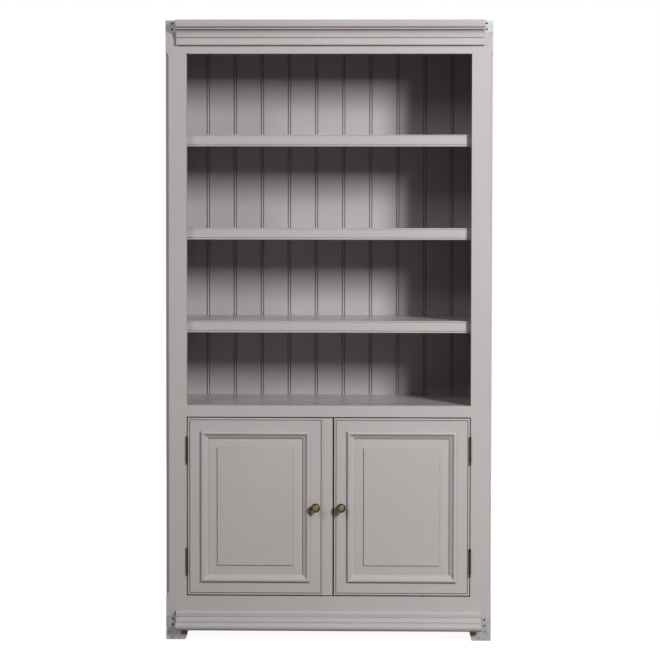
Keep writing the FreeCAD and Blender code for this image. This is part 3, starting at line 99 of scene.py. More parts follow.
def tinted(colour: Colour, share: float) -> Colour:
    """Scales a colour, which gets lighter where the share is over 1."""
    return tuple(share * part for part in colour[:3]) + (1.0,)


# Node trees ---------------------------------------------------------------------------------


class NodeBoard:
    """Adds nodes to one tree and links them as they come."""

    def __init__(self, tree: bpy.types.NodeTree) -> None:
        """Takes over and clears the tree of a material, world or group."""
        self.tree = tree
        tree.nodes.clear()

    def add(self, kind: str, links: dict[str | int, Input] | None = None,
            **settings: object) -> bpy.types.Node:
        """Adds one node.

        Args:
            kind: The node's type name, without its ShaderNode prefix.
            links: Input name or number to a socket to link or a value to set.
            **settings: Attributes of the node.

        Returns:
            The new node.
        """
        prefix = "" if kind.startswith("Node") else "ShaderNode"
        node = self.tree.nodes.new(prefix + kind)
        for name, value in settings.items():
            setattr(node, name, value)
        for key, value in (links or {}).items():
            if isinstance(value, Socket):
                self.tree.links.new(value, node.inputs[key])
            else:
                node.inputs[key].default_value = value
        return node

    def maths(self, operation: str, *values: Input) -> Socket:
        """Adds a Math node with these sockets or numbers as its inputs, and gives its result."""
        return self.add("Math", dict(enumerate(values)), operation=operation).outputs[0]

    def blend(self, share: Input, low: Input, high: Input) -> Socket:
        """Mixes two colours by a share, which is 0 for the low one and 1 for the high one."""
        first, second, out = 6, 7, 2
        return self.add("Mix", {0: share, first: low, second: high}, data_type="RGBA").outputs[out]

    def remap(self, value: Socket, start: float, end: float, low: float = 0.0,
              high: float = 1.0) -> Socket:
        """Maps a value, so that start becomes low and end becomes high, and clamps it there."""
        return self.add("MapRange", dict(enumerate((value, start, end, low, high)))).outputs[0]

    def noise(self, place: Socket, scale: float, detail: float = 3.0,
              roughness: float = 0.55) -> Socket:
        """Adds noise from 0 to 1, with its scale in waves per metre of the coordinates."""
        return self.add("TexNoise", {"Vector": place, "Scale": scale, "Detail": detail,
                                     "Roughness": roughness}).outputs[0]

    def bump(self, height: Socket, strength: float, depth: float, normal: Socket) -> Socket:
        """Bumps a normal by a height from 0 to 1, whose full depth is in metres."""
        return self.add("Bump", {"Strength": strength, "Distance": depth, "Height": height,
                                 "Normal": normal}).outputs[0]


GroupParts = tuple[bpy.types.NodeTree, NodeBoard, bpy.types.Node, bpy.types.Node]


def new_group(name: str, inputs: dict[str, tuple[str, Input]], outputs: dict[str, str]) -> GroupParts:
    """Starts a shader node group.

    Args:
        name: Name of the group.
        inputs: Input name to its socket type and default.
        outputs: Output name to its socket type.

    Returns:
        The group's tree, its board, its input node and its output node.
    """
    tree = bpy.data.node_groups.new(name, "ShaderNodeTree")
    for title, (kind, default) in inputs.items():
        socket = tree.interface.new_socket(title, in_out="INPUT", socket_type=f"NodeSocket{kind}")
        socket.default_value = default
    for title, kind in outputs.items():
        tree.interface.new_socket(title, in_out="OUTPUT", socket_type=f"NodeSocket{kind}")
    board = NodeBoard(tree)
    return tree, board, board.add("NodeGroupInput"), board.add("NodeGroupOutput")


def soft_edge_group() -> bpy.types.NodeTree:
    """Builds the group that rounds edges over and finds them.

    Returns:
        A group with the rounded normal and a mask that is 1 on an edge.
    """
    tree, board, given, result = new_group(
        "soft_edge", {"Radius": ("Float", 0.8 * MM), "Sharpness": ("Float", 6.0)},
        {"Normal": "Vector", "Edge": "Float"})
    bevel = board.add("Bevel", {"Radius": given.outputs["Radius"]}, samples=6)
    flat = board.add("NewGeometry").outputs["Normal"]
    facing = board.add("VectorMath", {0: bevel.outputs[0], 1: flat}, operation="DOT_PRODUCT")
    turned = board.maths("SUBTRACT", 1.0, facing.outputs["Value"])
    edge = board.maths("MULTIPLY", turned, given.outputs["Sharpness"])
    board.tree.links.new(bevel.outputs[0], result.inputs["Normal"])
    board.tree.links.new(board.remap(edge, 0.0, 1.0), result.inputs["Edge"])
    return tree


def brushed_coat_group() -> bpy.types.NodeTree:
    """Builds the group for brushed paint.

    Returns:
        A group with brush marks, a slow cloud of tone and the height of the film.
    """
    tree, board, given, result = new_group(
        "brushed_coat", {"Vector": ("Vector", (0, 0, 0)), "Stretched": ("Vector", (0, 0, 0))},
        {"Marks": "Float", "Cloud": "Float", "Height": "Float"})
    cloud_scale, peel_scale, marks_share, peel_share = 3.2, 420.0, 0.7, 0.3
    marks = board.noise(given.outputs["Stretched"], 1.0, detail=4.0, roughness=0.6)
    cloud = board.noise(given.outputs["Vector"], cloud_scale, detail=2.0, roughness=0.5)
    peel = board.noise(given.outputs["Vector"], peel_scale, detail=1.0)
    height = board.maths("ADD", board.maths("MULTIPLY", marks, marks_share),
                         board.maths("MULTIPLY", peel, peel_share))
    for name, socket in (("Marks", marks), ("Cloud", cloud), ("Height", height)):
        board.tree.links.new(socket, result.inputs[name])
    return tree


def shade_in_grooves_group() -> bpy.types.NodeTree:
    """Builds the group that finds grooves, for painted shade at their foot.

    Returns:
        A group with a mask that is 1 at the foot of a groove.
    """
    tree, board, given, result = new_group(
        "shade_in_grooves", {"Reach": ("Float", 5.0 * MM)}, {"ShadeInGrooves": "Float"})
    # Occlusion at which the painted groove shade starts and at which it is full.
    groove_shade_starts, groove_shade_full = 0.80, 0.40
    openness = board.add("AmbientOcclusion", {"Distance": given.outputs["Reach"]},
                         samples=8, only_local=True).outputs["AO"]
    board.tree.links.new(board.remap(openness, groove_shade_starts, groove_shade_full), result.inputs["ShadeInGrooves"])
    return tree


class ShaderKit:
    """The node groups that several finishes share, each built once."""

    def __init__(self) -> None:
        """Builds the groups."""
        self.soft_edge = soft_edge_group()
        self.brushed_coat = brushed_coat_group()
        self.shade_in_grooves = shade_in_grooves_group()

    def edge(self, board: NodeBoard, radius: float) -> bpy.types.Node:
        """Adds the soft edge group to a material's board, with its radius in metres."""
        return board.add("Group", {"Radius": radius}, node_tree=self.soft_edge)


def new_material(name: str) -> tuple[Material, NodeBoard, Socket]:
    """Starts a material.

    Args:
        name: Name of the material.

    Returns:
        The material, its board and the object coordinates.
    """
    material = bpy.data.materials.new(name)
    material.use_nodes = True
    board = NodeBoard(material.node_tree)
    return material, board, board.add("TexCoord").outputs["Object"]


# Finishes -----------------------------------------------------------------------------------


@dataclass(frozen=True)
class GreyPaint:
    """Satin warm grey paint, brushed along the timber, lighter on its edges as painted highlight with
    a little rub wear, and with painted shade at the foot of grooves where given.
    """

    colour: Colour = (0.406, 0.380, 0.383, 1.0)
    # Lighter colour on edges: painted highlight, with a little rub wear.
    rubbed_and_highlit: Colour = (0.520, 0.492, 0.488, 1.0)
    roughness: float = 0.56
    roughness_change: float = 0.05
    specular: float = 0.15
    tone_change: float = 0.035
    cloud_share: float = 0.7
    marks_share: float = 0.3
    # Strength and reach of the lighter edges, which are painted highlight and rub wear.
    rub: float = 0.35
    least_rub_and_highlight: float = 0.4
    rub_reach: tuple[float, float] = (0.35, 0.65)
    edge_radius: float = 0.9 * MM
    film: float = 0.05 * MM
    relief: float = 0.6
    # Darker colour painted at the foot of grooves: painted shade.
    groove_shade: Colour = (0.130, 0.105, 0.090, 1.0)
    groove_shade_share: float = 0.0

    def material(self, kit: ShaderKit, run: GrainRun, name: str = "grey_paint") -> Material:
        """Builds the paint for timber that runs one way.

        Args:
            kit: The shared node groups.
            run: The way of the brush marks.
            name: Start of the material's name.

        Returns:
            The material.
        """
        made, board, place = new_material(f"{name}_{run.value}")
        stretched = board.add("Mapping", {"Vector": place, "Scale": run.stretch}).outputs[0]
        coat = board.add("Group", node_tree=kit.brushed_coat)
        board.tree.links.new(place, coat.inputs["Vector"])
        board.tree.links.new(stretched, coat.inputs["Stretched"])
        edge = kit.edge(board, self.edge_radius)
        cloud, marks = coat.outputs["Cloud"], coat.outputs["Marks"]
        tone = board.maths("MULTIPLY_ADD", cloud, self.cloud_share,
                           board.maths("MULTIPLY", marks, self.marks_share))
        base = board.blend(board.remap(tone, NOISE_LOW, NOISE_HIGH),
                           tinted(self.colour, 1 - self.tone_change),
                           tinted(self.colour, 1 + self.tone_change))
        # Edges lighten towards the lighter colour: painted highlight along with rub wear.
        worn_and_highlit = board.maths("MULTIPLY", edge.outputs["Edge"],
                           board.remap(cloud, *self.rub_reach, self.least_rub_and_highlight * self.rub, self.rub))
        colour = board.blend(worn_and_highlit, base, self.rubbed_and_highlit)
        # Painted shade at the foot of grooves, found by ambient occlusion.
        if self.groove_shade_share:
            groove = board.add("Group", node_tree=kit.shade_in_grooves).outputs["ShadeInGrooves"]
            colour = board.blend(board.maths("MULTIPLY", groove, self.groove_shade_share), colour, self.groove_shade)
        least, most = self.roughness - self.roughness_change, self.roughness + self.roughness_change
        shader = board.add("BsdfPrincipled", {
            "Base Color": colour,
            "Roughness": board.remap(marks, NOISE_LOW, NOISE_HIGH, least, most),
            "Specular IOR Level": self.specular,
            "Normal": board.bump(coat.outputs["Height"], self.relief, self.film,
                                 edge.outputs["Normal"])})
        board.add("OutputMaterial", {"Surface": shader.outputs[0]})
        return made


@dataclass(frozen=True)
class GalvanisedSteel:
    """Hot-dipped zinc with its spangle, dull and slightly blue."""

    dark: Colour = (0.170, 0.180, 0.178, 1.0)
    light: Colour = (0.290, 0.305, 0.300, 1.0)
    spangle: float = 160.0
    cloud_scale: float = 60.0
    cell_share: float = 0.55
    cloud_share: float = 0.45
    metallic: float = 0.55
    smoothest: float = 0.37
    roughest: float = 0.55
    edge_radius: float = 0.3 * MM
    edge_wear: float = 0.4
    relief: float = 0.4
    relief_depth: float = 0.02 * MM
    name: str = "galvanised_steel"

    def material(self, kit: ShaderKit) -> Material:
        """Builds the zinc.

        Args:
            kit: The shared node groups.

        Returns:
            The material.
        """
        made, board, place = new_material(self.name)
        cells = board.add("TexVoronoi", {"Vector": place, "Scale": self.spangle})
        cell = board.add("SeparateColor", {0: cells.outputs["Color"]}).outputs[0]
        cloud = board.noise(place, self.cloud_scale)
        share = board.maths("MULTIPLY_ADD", cell, self.cell_share,
                            board.maths("MULTIPLY", cloud, self.cloud_share))
        edge = kit.edge(board, self.edge_radius)
        tone = board.blend(share, self.dark, self.light)
        bare = board.maths("MULTIPLY", edge.outputs["Edge"], self.edge_wear)
        shader = board.add("BsdfPrincipled", {
            "Base Color": board.blend(bare, tone, self.light),
            "Metallic": self.metallic,
            "Roughness": board.remap(cell, 0.0, 1.0, self.smoothest, self.roughest),
            "Normal": board.bump(cell, self.relief, self.relief_depth, edge.outputs["Normal"])})
        board.add("OutputMaterial", {"Surface": shader.outputs[0]})
        return made


@dataclass(frozen=True)
class AntiqueBrass:
    """Brass with a brown patina, worn thin on its edges and where the attribute of hand wear says so;
    that attribute also leaves a knob's rim dark as painted reflection.
    """

    bright: Colour = (0.205, 0.155, 0.082, 1.0)
    patina: Colour = (0.020, 0.016, 0.010, 1.0)
    smoothest: float = 0.32
    roughest: float = 0.50
    cloud_scale: float = 130.0
    grain_scale: float = 900.0
    rub: float = 0.20
    rub_reach: tuple[float, float] = (0.42, 0.66)
    touch_rub: float = 0.75
    edge_rub: float = 0.12
    edge_radius: float = 0.5 * MM
    edge_sharpness: float = 9.0
    relief: float = 0.35
    relief_depth: float = 0.03 * MM
    name: str = "antique_brass"

    def material(self, kit: ShaderKit) -> Material:
        """Builds the brass.

        Args:
            kit: The shared node groups.

        Returns:
            The material.
        """
        made, board, place = new_material(self.name)
        cloud = board.noise(place, self.cloud_scale, detail=4.0, roughness=0.65)
        grain = board.noise(place, self.grain_scale, detail=2.0)
        edge = kit.edge(board, self.edge_radius)
        edge.inputs["Sharpness"].default_value = self.edge_sharpness
        # Worn middle of a knob, whose dark rim is painted reflection.
        wear_and_rim_shade = board.add("Attribute", attribute_name=WEAR_AND_RIM_SHADE).outputs["Fac"]
        patches = board.remap(cloud, *self.rub_reach, 0.0, self.rub)
        rubbed_and_highlit = board.maths("MULTIPLY_ADD", wear_and_rim_shade, self.touch_rub, patches)
        bare = board.maths("ADD", rubbed_and_highlit,
                           board.maths("MULTIPLY", edge.outputs["Edge"], self.edge_rub))
        shader = board.add("BsdfPrincipled", {
            "Base Color": board.blend(bare, self.patina, self.bright),
            "Metallic": 1.0,
            "Roughness": board.remap(cloud, NOISE_LOW, NOISE_HIGH, self.roughest, self.smoothest),
            "Normal": board.bump(grain, self.relief, self.relief_depth, edge.outputs["Normal"])})
        board.add("OutputMaterial", {"Surface": shader.outputs[0]})
        return made


@dataclass(frozen=True)
class ScrewSteel:
    """Oiled dark steel of screws and pins."""

    colour: Colour = (0.17, 0.165, 0.15, 1.0)
    light: Colour = (0.34, 0.33, 0.31, 1.0)
    smoothest: float = 0.32
    roughest: float = 0.52
    cloud_scale: float = 300.0
    edge_radius: float = 0.25 * MM
    edge_wear: float = 0.6

    def material(self, kit: ShaderKit) -> Material:
        """Builds the steel.

        Args:
            kit: The shared node groups.

        Returns:
            The material.
        """
        made, board, place = new_material("screw_steel")
        cloud = board.noise(place, self.cloud_scale)
        edge = kit.edge(board, self.edge_radius)
        bare = board.maths("MULTIPLY", edge.outputs["Edge"], self.edge_wear)
        shader = board.add("BsdfPrincipled", {
            "Base Color": board.blend(bare, self.colour, self.light),
            "Metallic": 1.0,
            "Roughness": board.remap(cloud, NOISE_LOW, NOISE_HIGH, self.smoothest, self.roughest),
            "Normal": edge.outputs["Normal"]})
        board.add("OutputMaterial", {"Surface": shader.outputs[0]})
        return made


@dataclass(frozen=True)
class MouldedPlastic:
    """Brown moulded plastic of the magnetic catches."""

    colour: Colour = (0.105, 0.070, 0.048, 1.0)
    smoothest: float = 0.41
    roughest: float = 0.54
    specular: float = 0.4
    spark_scale: float = 1400.0
    edge_radius: float = 0.5 * MM
    edge_wear: float = 0.5
    edge_tint: float = 2.0
    relief: float = 0.3
    relief_depth: float = 0.03 * MM

    def material(self, kit: ShaderKit) -> Material:
        """Builds the plastic.

        Args:
            kit: The shared node groups.

        Returns:
            The material.
        """
        made, board, place = new_material("catch_plastic")
        spark = board.noise(place, self.spark_scale, detail=1.0)
        edge = kit.edge(board, self.edge_radius)
        worn_and_highlit = board.maths("MULTIPLY", edge.outputs["Edge"], self.edge_wear)
        shader = board.add("BsdfPrincipled", {
            "Base Color": board.blend(worn_and_highlit, self.colour, tinted(self.colour, self.edge_tint)),
            "Roughness": board.remap(spark, NOISE_LOW, NOISE_HIGH, self.smoothest, self.roughest),
            "Specular IOR Level": self.specular,
            "Normal": board.bump(spark, self.relief, self.relief_depth, edge.outputs["Normal"])})
        board.add("OutputMaterial", {"Surface": shader.outputs[0]})
        return made


@dataclass
class Palette:
    """Every finish of the bookcase as a material."""

    upright_paint: Material
    across_paint: Material
    board_paint: Material
    door_upright_paint: Material
    door_across_paint: Material
    shelf_paint: Material
    zinc: Material
    bright_zinc: Material
    brass: Material
    hinge_brass: Material
    steel: Material
    plastic: Material

    @classmethod
    def mixed(cls) -> "Palette":
        """Builds the materials.

        Returns:
            The palette.
        """
        kit = ShaderKit()
        # The doors and the back boards carry painted shade in their grooves.
        door_paint = GreyPaint(groove_shade_share=0.6)
        return cls(
            upright_paint=GreyPaint().material(kit, GrainRun.UPRIGHT),
            across_paint=GreyPaint().material(kit, GrainRun.ACROSS),
            # The back boards get a darker copy of the grey paint: painted shade inside the case.
            board_paint=GreyPaint(
                colour=(0.380, 0.356, 0.359, 1.0), rub=0.10, edge_radius=0.3 * MM,
                groove_shade_share=0.8).material(kit, GrainRun.UPRIGHT, "board_paint"),
            door_upright_paint=door_paint.material(kit, GrainRun.UPRIGHT, "door_paint"),
            door_across_paint=door_paint.material(kit, GrainRun.ACROSS, "door_paint"),
            shelf_paint=GreyPaint(roughness=0.25, specular=0.5).material(
                kit, GrainRun.ACROSS, "shelf_paint"),
            # Left plates in the darker zinc and right plates in a lighter copy: painted shade and
            # painted light by side.
            zinc=GalvanisedSteel().material(kit),
            bright_zinc=GalvanisedSteel(
                dark=(0.215, 0.228, 0.228, 1.0), light=(0.360, 0.382, 0.382, 1.0),
                name="lit_side_galvanised_steel").material(kit),
            brass=AntiqueBrass().material(kit),
            hinge_brass=AntiqueBrass(
                bright=(0.13, 0.105, 0.070, 1.0), patina=(0.026, 0.021, 0.015, 1.0),
                rub=0.3, name="hinge_brass").material(kit),
            steel=ScrewSteel().material(kit),
            plastic=MouldedPlastic().material(kit))


# Modelling ----------------------------------------------------------------------------------


def deselect_all() -> None:
    """Leaves object mode's selection empty, so that an operator acts on new work only."""
    if bpy.context.object and bpy.context.object.mode != "OBJECT":
        bpy.ops.object.mode_set(mode="OBJECT")
    bpy.ops.object.select_all(action="DESELECT")


def take(*pieces: Piece) -> None:
    """Selects some pieces and nothing else.

    Args:
        *pieces: The pieces, the first of which becomes active.
    """
    deselect_all()
    for piece in pieces:
        piece.select_set(True)
    bpy.context.view_layer.objects.active = pieces[0]


def edit_all() -> None:
    """Opens edit mode with the whole mesh selected."""
    bpy.ops.object.mode_set(mode="EDIT")
    bpy.ops.mesh.select_all(action="SELECT")


def settle(piece: Piece, name: str, material: Material, angle: float) -> None:
    """Finishes a new piece: origin at the scene's origin, normals outwards, shading and material.

    Args:
        piece: The piece.
        name: Its name.
        material: Its finish.
        angle: Largest angle in degrees that is shaded smooth.
    """
    take(piece)
    bpy.ops.object.transform_apply(location=True, rotation=True, scale=True)
    edit_all()
    bpy.ops.mesh.remove_doubles(threshold=MERGE_NEW)
    bpy.ops.mesh.normals_make_consistent(inside=False)
    bpy.ops.object.mode_set(mode="OBJECT")
    bpy.ops.object.shade_smooth_by_angle(angle=math.radians(angle))
    piece.name = piece.data.name = name
    piece.data.materials.clear()
    piece.data.materials.append(material)
    deselect_all()


def dress(material: Material, *nodes: str) -> None:
    """Puts a finish on CAD nodes.

    Args:
        material: The finish.
        *nodes: Names of the nodes.
    """
    for name in nodes:
        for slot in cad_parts[name].material_slots:
            slot.material = material
        log.info("%s dressed in %s", name, material.name)


def solid_boxes(node: str) -> list[tuple[Vector, Vector]]:
    """Finds the separate solids of a CAD node.

    Args:
        node: Name of the node.

    Returns:
        The lowest and highest corner of each solid.
    """
    copy = bpy.data.objects.new("solids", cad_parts[node].data.copy())
    bpy.context.scene.collection.objects.link(copy)
    take(copy)
    edit_all()
    bpy.ops.mesh.remove_doubles(threshold=MERGE_CAD)
    bpy.ops.mesh.separate(type="LOOSE")
    bpy.ops.object.mode_set(mode="OBJECT")
    boxes = []
    for solid in list(bpy.context.selected_objects):
        points = [vertex.co for vertex in solid.data.vertices]
        boxes.append((Vector(map(min, zip(*points))), Vector(map(max, zip(*points)))))
        bpy.data.objects.remove(solid)
    digits = 5
    return sorted(boxes, key=lambda box: tuple(round(part, digits) for part in box[0]))


@dataclass
class Knob:
    """Turned knob: foot, neck, flared head with a raised rim and a domed middle."""

    hand: Hand
    sides: int = 72
    foot_share: float = 0.56
    foot_steps: Steps = ((0.0, 0.0), (1.2 * MM, 0.0), (1.9 * MM, 0.8 * MM))
    neck_share: float = 0.36
    neck_steps: Steps = ((2.4 * MM, 1.6 * MM), (4.0 * MM, 0.4 * MM))
    neck_end: float = 0.55
    head_height: float = 6.5 * MM
    flare_overlap: float = 3.4 * MM
    flare_turns: int = 6
    edge_round: float = 0.5 * MM
    rim_width: float = 1.6 * MM
    rim_steps: Steps = ((0.7 * MM, 0.0), (0.2 * MM, 0.3 * MM), (0.0, 0.8 * MM))
    rim_slope: tuple[float, float] = (0.3 * MM, 0.6 * MM)
    rim_dip: float = 0.9 * MM
    dome_gap: float = 0.9 * MM
    dome_rise: float = 2.6 * MM
    dome_turns: int = 8
    dome_tip: float = 0.2 * MM
    # Where the dark rim starts: painted reflection round the worn middle.
    worn_share: float = 0.76
    worn_depth: float = 0.75
    smooth_angle: float = 40.0

    @property
    def node(self) -> str:
        """Name of the CAD node it stands for."""
        return f"door_{self.hand.value}_knob"

    def profile(self, radius: float, length: float) -> list[tuple[float, float]]:
        """Works out the turned outline from the door's face forwards.

        Args:
            radius: Radius of the head.
            length: Length over all.

        Returns:
            Distance from the door and radius of each ring.
        """
        foot, neck = self.foot_share * radius, self.neck_share * radius
        head_back = length - self.dome_rise - self.head_height
        neck_front, flare_front = self.neck_end * head_back, head_back + self.flare_overlap
        rows = [(away, foot - less) for away, less in self.foot_steps]
        rows += [(away, neck + more) for away, more in self.neck_steps]
        rows.append((neck_front, neck))
        for turn in self.quarter(self.flare_turns):
            rows.append((neck_front + (flare_front - neck_front) * math.sin(turn),
                         neck + (radius - self.edge_round - neck) * (1 - math.cos(turn))))
        rim_front = length - self.dome_rise + self.rim_dip
        dome_back = rim_front - self.rim_dip
        rows.append((flare_front + self.edge_round, radius))
        rows += [(rim_front - back, radius - less) for back, less in self.rim_steps]
        slope_back, slope_run = self.rim_slope
        rows += [(rim_front - slope_back, radius - self.rim_width),
                 (dome_back, radius - self.rim_width - slope_run)]
        dome = radius - self.rim_width - self.dome_gap
        for turn in self.quarter(self.dome_turns):
            rows.append((dome_back + (length - dome_back) * math.sin(turn),
                         max(dome * math.cos(turn), self.dome_tip)))
        return rows

    @staticmethod
    def quarter(count: int) -> list[float]:
        """Angles of a quarter turn in equal steps, without its start."""
        return [math.radians(90 * step / count) for step in range(1, count + 1)]

    def mark_wear_and_rim_shade(self, knob: Piece, centre: Vector, radius: float, reach: float) -> None:
        """Writes the attribute of hand wear and rim shade: 1 on the worn middle of the head, 0 from
        its rim backwards, which leaves a dark ring round the rim as painted reflection.

        Args:
            knob: The knob.
            centre: Centre of its box.
            radius: Radius of the head.
            reach: The place in Y behind which hands don't rub.
        """
        wear_and_rim_shade = knob.data.attributes.new(WEAR_AND_RIM_SHADE, "FLOAT", "POINT")
        for vertex, value in zip(knob.data.vertices, wear_and_rim_shade.data):
            away = math.hypot(vertex.co.x - centre.x, vertex.co.z - centre.z)
            share = away / (self.worn_share * radius)
            value.value = max(0.0, 1.0 - share ** 3) if vertex.co.y < reach else 0.0

    def build(self, palette: Palette) -> None:
        """Turns the knob on the door.

        Args:
            palette: The finishes.
        """
        low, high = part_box(self.node)
        centre = (low + high) / 2
        radius, length = (high.x - low.x) / 2, high.y - low.y
        rows = self.profile(radius, length)
        deselect_all()
        bpy.ops.mesh.primitive_circle_add(
            vertices=self.sides, radius=rows[0][1], fill_type="NGON",
            location=(centre.x, high.y, centre.z), rotation=(math.pi / 2, 0, 0))
        knob = bpy.context.object
        bpy.ops.object.transform_apply(location=True, rotation=True, scale=True)
        edit_all()
        for (back, wide), (front, narrow) in zip(rows, rows[1:]):
            bpy.ops.mesh.extrude_region_move(TRANSFORM_OT_translate={"value": (0, back - front, 0)})
            bpy.ops.transform.resize(value=(narrow / wide, 1, narrow / wide),
                                     center_override=(centre.x, high.y - front, centre.z))
        bpy.ops.mesh.poke()
        settle(knob, f"turned_knob_{self.hand.value}", palette.brass, self.smooth_angle)
        self.mark_wear_and_rim_shade(knob, centre, radius, high.y - self.worn_depth * length)
        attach(knob, self.hand.door)
        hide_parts(self.node)
        log.info("%s turned in %d rings", knob.name, len(rows))


@dataclass
class CrossHeadScrews:
    """Countersunk cross-head screws of the steel plates, in the places of their CAD solids."""

    node: str = "plate_screws"
    sides: int = 32
    edge_height: float = 0.3 * MM
    cone: float = 2.2 * MM
    shank_share: float = 0.5
    point_length: float = 4 * MM
    point_radius: float = 0.15 * MM
    slot_width: float = 0.9 * MM
    slot_length: float = 4.2 * MM
    slot_depth: float = 1.6 * MM
    slot_taper: float = 0.62
    turn_between: float = 37.0
    smooth_angle: float = 30.0

    def model(self, radius: float, length: float) -> Piece:
        """Models one screw with its head at the origin and its point towards +Y.

        Args:
            radius: Radius of the head.
            length: Length over all.

        Returns:
            The screw.
        """
        deselect_all()
        bpy.ops.mesh.primitive_circle_add(vertices=self.sides, radius=radius, fill_type="NGON",
                                          rotation=(math.pi / 2, 0, 0))
        screw = bpy.context.object
        bpy.ops.object.transform_apply(location=False, rotation=True, scale=False)
        edit_all()
        shank = self.shank_share * radius
        rows = [(0.0, radius), (self.edge_height, radius), (self.cone, shank),
                (length - self.point_length, shank), (length, self.point_radius)]
        for (back, wide), (front, narrow) in zip(rows, rows[1:]):
            bpy.ops.mesh.extrude_region_move(TRANSFORM_OT_translate={"value": (0, front - back, 0)})
            bpy.ops.transform.resize(value=(narrow / wide, 1, narrow / wide),
                                     center_override=(0, front, 0))
        bpy.ops.mesh.select_all(action="SELECT")
        bpy.ops.mesh.normals_make_consistent(inside=False)
        bpy.ops.object.mode_set(mode="OBJECT")
        self.cut_slot(screw, self.slot_length, self.slot_width)
        self.cut_slot(screw, self.slot_width, self.slot_length)
        return screw

    def cut_slot(self, screw: Piece, width: float, height: float) -> None:
        """Cuts one bar of the cross into the head, narrower at its foot.

        Args:
            screw: The screw.
            width: Size along X.
            height: Size along Z.
        """
        deselect_all()
        bpy.ops.mesh.primitive_cube_add(size=1, scale=(width, 2 * self.slot_depth, height))
        cutter = bpy.context.object
        bpy.ops.object.transform_apply(location=False, rotation=False, scale=True)
        bpy.ops.object.mode_set(mode="EDIT")
        bpy.ops.mesh.select_all(action="DESELECT")
        bpy.ops.object.mode_set(mode="OBJECT")
        towards_back = 0.9
        for face in cutter.data.polygons:
            face.select = face.normal.y > towards_back
        bpy.ops.object.mode_set(mode="EDIT")
        bpy.ops.mesh.select_mode(type="FACE")
        bpy.ops.transform.resize(value=(self.slot_taper, 1, self.slot_taper),
                                 center_override=(0, self.slot_depth, 0))
        bpy.ops.object.mode_set(mode="OBJECT")
        take(screw)
        cut = screw.modifiers.new("slot", "BOOLEAN")
        cut.operation, cut.solver, cut.object = "DIFFERENCE", "EXACT", cutter
        bpy.ops.object.modifier_apply(modifier=cut.name)
        bpy.data.objects.remove(cutter)

    def build(self, palette: Palette) -> None:
        """Sets a copy of the screw in each place and joins them.

        Args:
            palette: The finishes.
        """
        places = solid_boxes(self.node)
        low, high = places[0]
        master = self.model((high.x - low.x) / 2, high.y - low.y)
        copies = []
        for number, (low, high) in enumerate(places):
            copy = bpy.data.objects.new(f"screw_{number}", master.data.copy())
            bpy.context.scene.collection.objects.link(copy)
            turn = Matrix.Rotation(math.radians(self.turn_between * number), 4, "Y")
            middle = (low + high) / 2
            copy.matrix_world = Matrix.Translation((middle.x, low.y, middle.z)) @ turn
            copies.append(copy)
        bpy.data.objects.remove(master)
        take(*copies)
        bpy.ops.object.transform_apply(location=True, rotation=True, scale=True)
        bpy.ops.object.join()
        screws = bpy.context.object
        settle(screws, "cross_head_screws", palette.steel, self.smooth_angle)
        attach(screws, CABINET)
        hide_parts(self.node)
        log.info("%s set in %d places", screws.name, len(places))


# Sub-assemblies -----------------------------------------------------------------------------


@dataclass
class Casework:
    """Face frame, sides, boards, back and feet of the case."""

    uprights: Names = ("front_stile", "side_panel", "front_foot", "rear_foot")
    rails: Names = ("frieze_rail", "middle_rail", "bottom_rail", "top_board", "base_board")

    def dress(self, palette: Palette) -> None:
        """Paints the case along its timber.

        Args:
            palette: The finishes.
        """
        for part in self.uprights:
            dress(palette.upright_paint, *(f"{part}_{hand.value}" for hand in Hand))
        dress(palette.across_paint, *self.rails)
        # Back boards in the darker copy of the paint, as painted shade.
        dress(palette.board_paint, "back_boards")
        dress(palette.shelf_paint, "middle_board")


@dataclass
class Mouldings:
    """Crown and plinth mouldings across the front."""

    lengths: Names = ("crown_moulding", "plinth_moulding")

    def dress(self, palette: Palette) -> None:
        """Paints the mouldings along their length."""
        dress(palette.across_paint, *self.lengths)


@dataclass
class Shelving:
    """Loose shelves with their nosings and pins, and the shelf in the cupboard."""

    count: int = 3

    def dress(self, palette: Palette) -> None:
        """Paints the shelves and finishes their pins.

        Args:
            palette: The finishes.
        """
        for number in range(1, self.count + 1):
            dress(palette.shelf_paint, f"shelf_{number}")
            dress(palette.across_paint, f"shelf_nosing_{number}")
        dress(palette.across_paint, "cupboard_shelf")
        dress(palette.steel, "shelf_pins")


@dataclass
class CabinetDoor:
    """One panelled door with its knob and its own hinge leaves."""

    hand: Hand

    def name(self, part: str) -> str:
        """Name of the CAD node of one of its parts."""
        return f"door_{self.hand.value}_{part}"

    def build(self, palette: Palette) -> None:
        """Finishes the door and turns its knob.

        Args:
            palette: The finishes.
        """
        upright = ["hinge_stile", "meeting_stile", "panel"]
        if self.hand is Hand.LEFT:
            upright.append("meeting_strip")
        dress(palette.door_upright_paint, *map(self.name, upright))
        dress(palette.door_across_paint, *map(self.name, ("top_rail", "bottom_rail", "moulding")))
        dress(palette.hinge_brass, *map(self.name, ("hinge_leaves", "screws")))
        dress(palette.steel, self.name("catch_plate"))
        Knob(self.hand).build(palette)


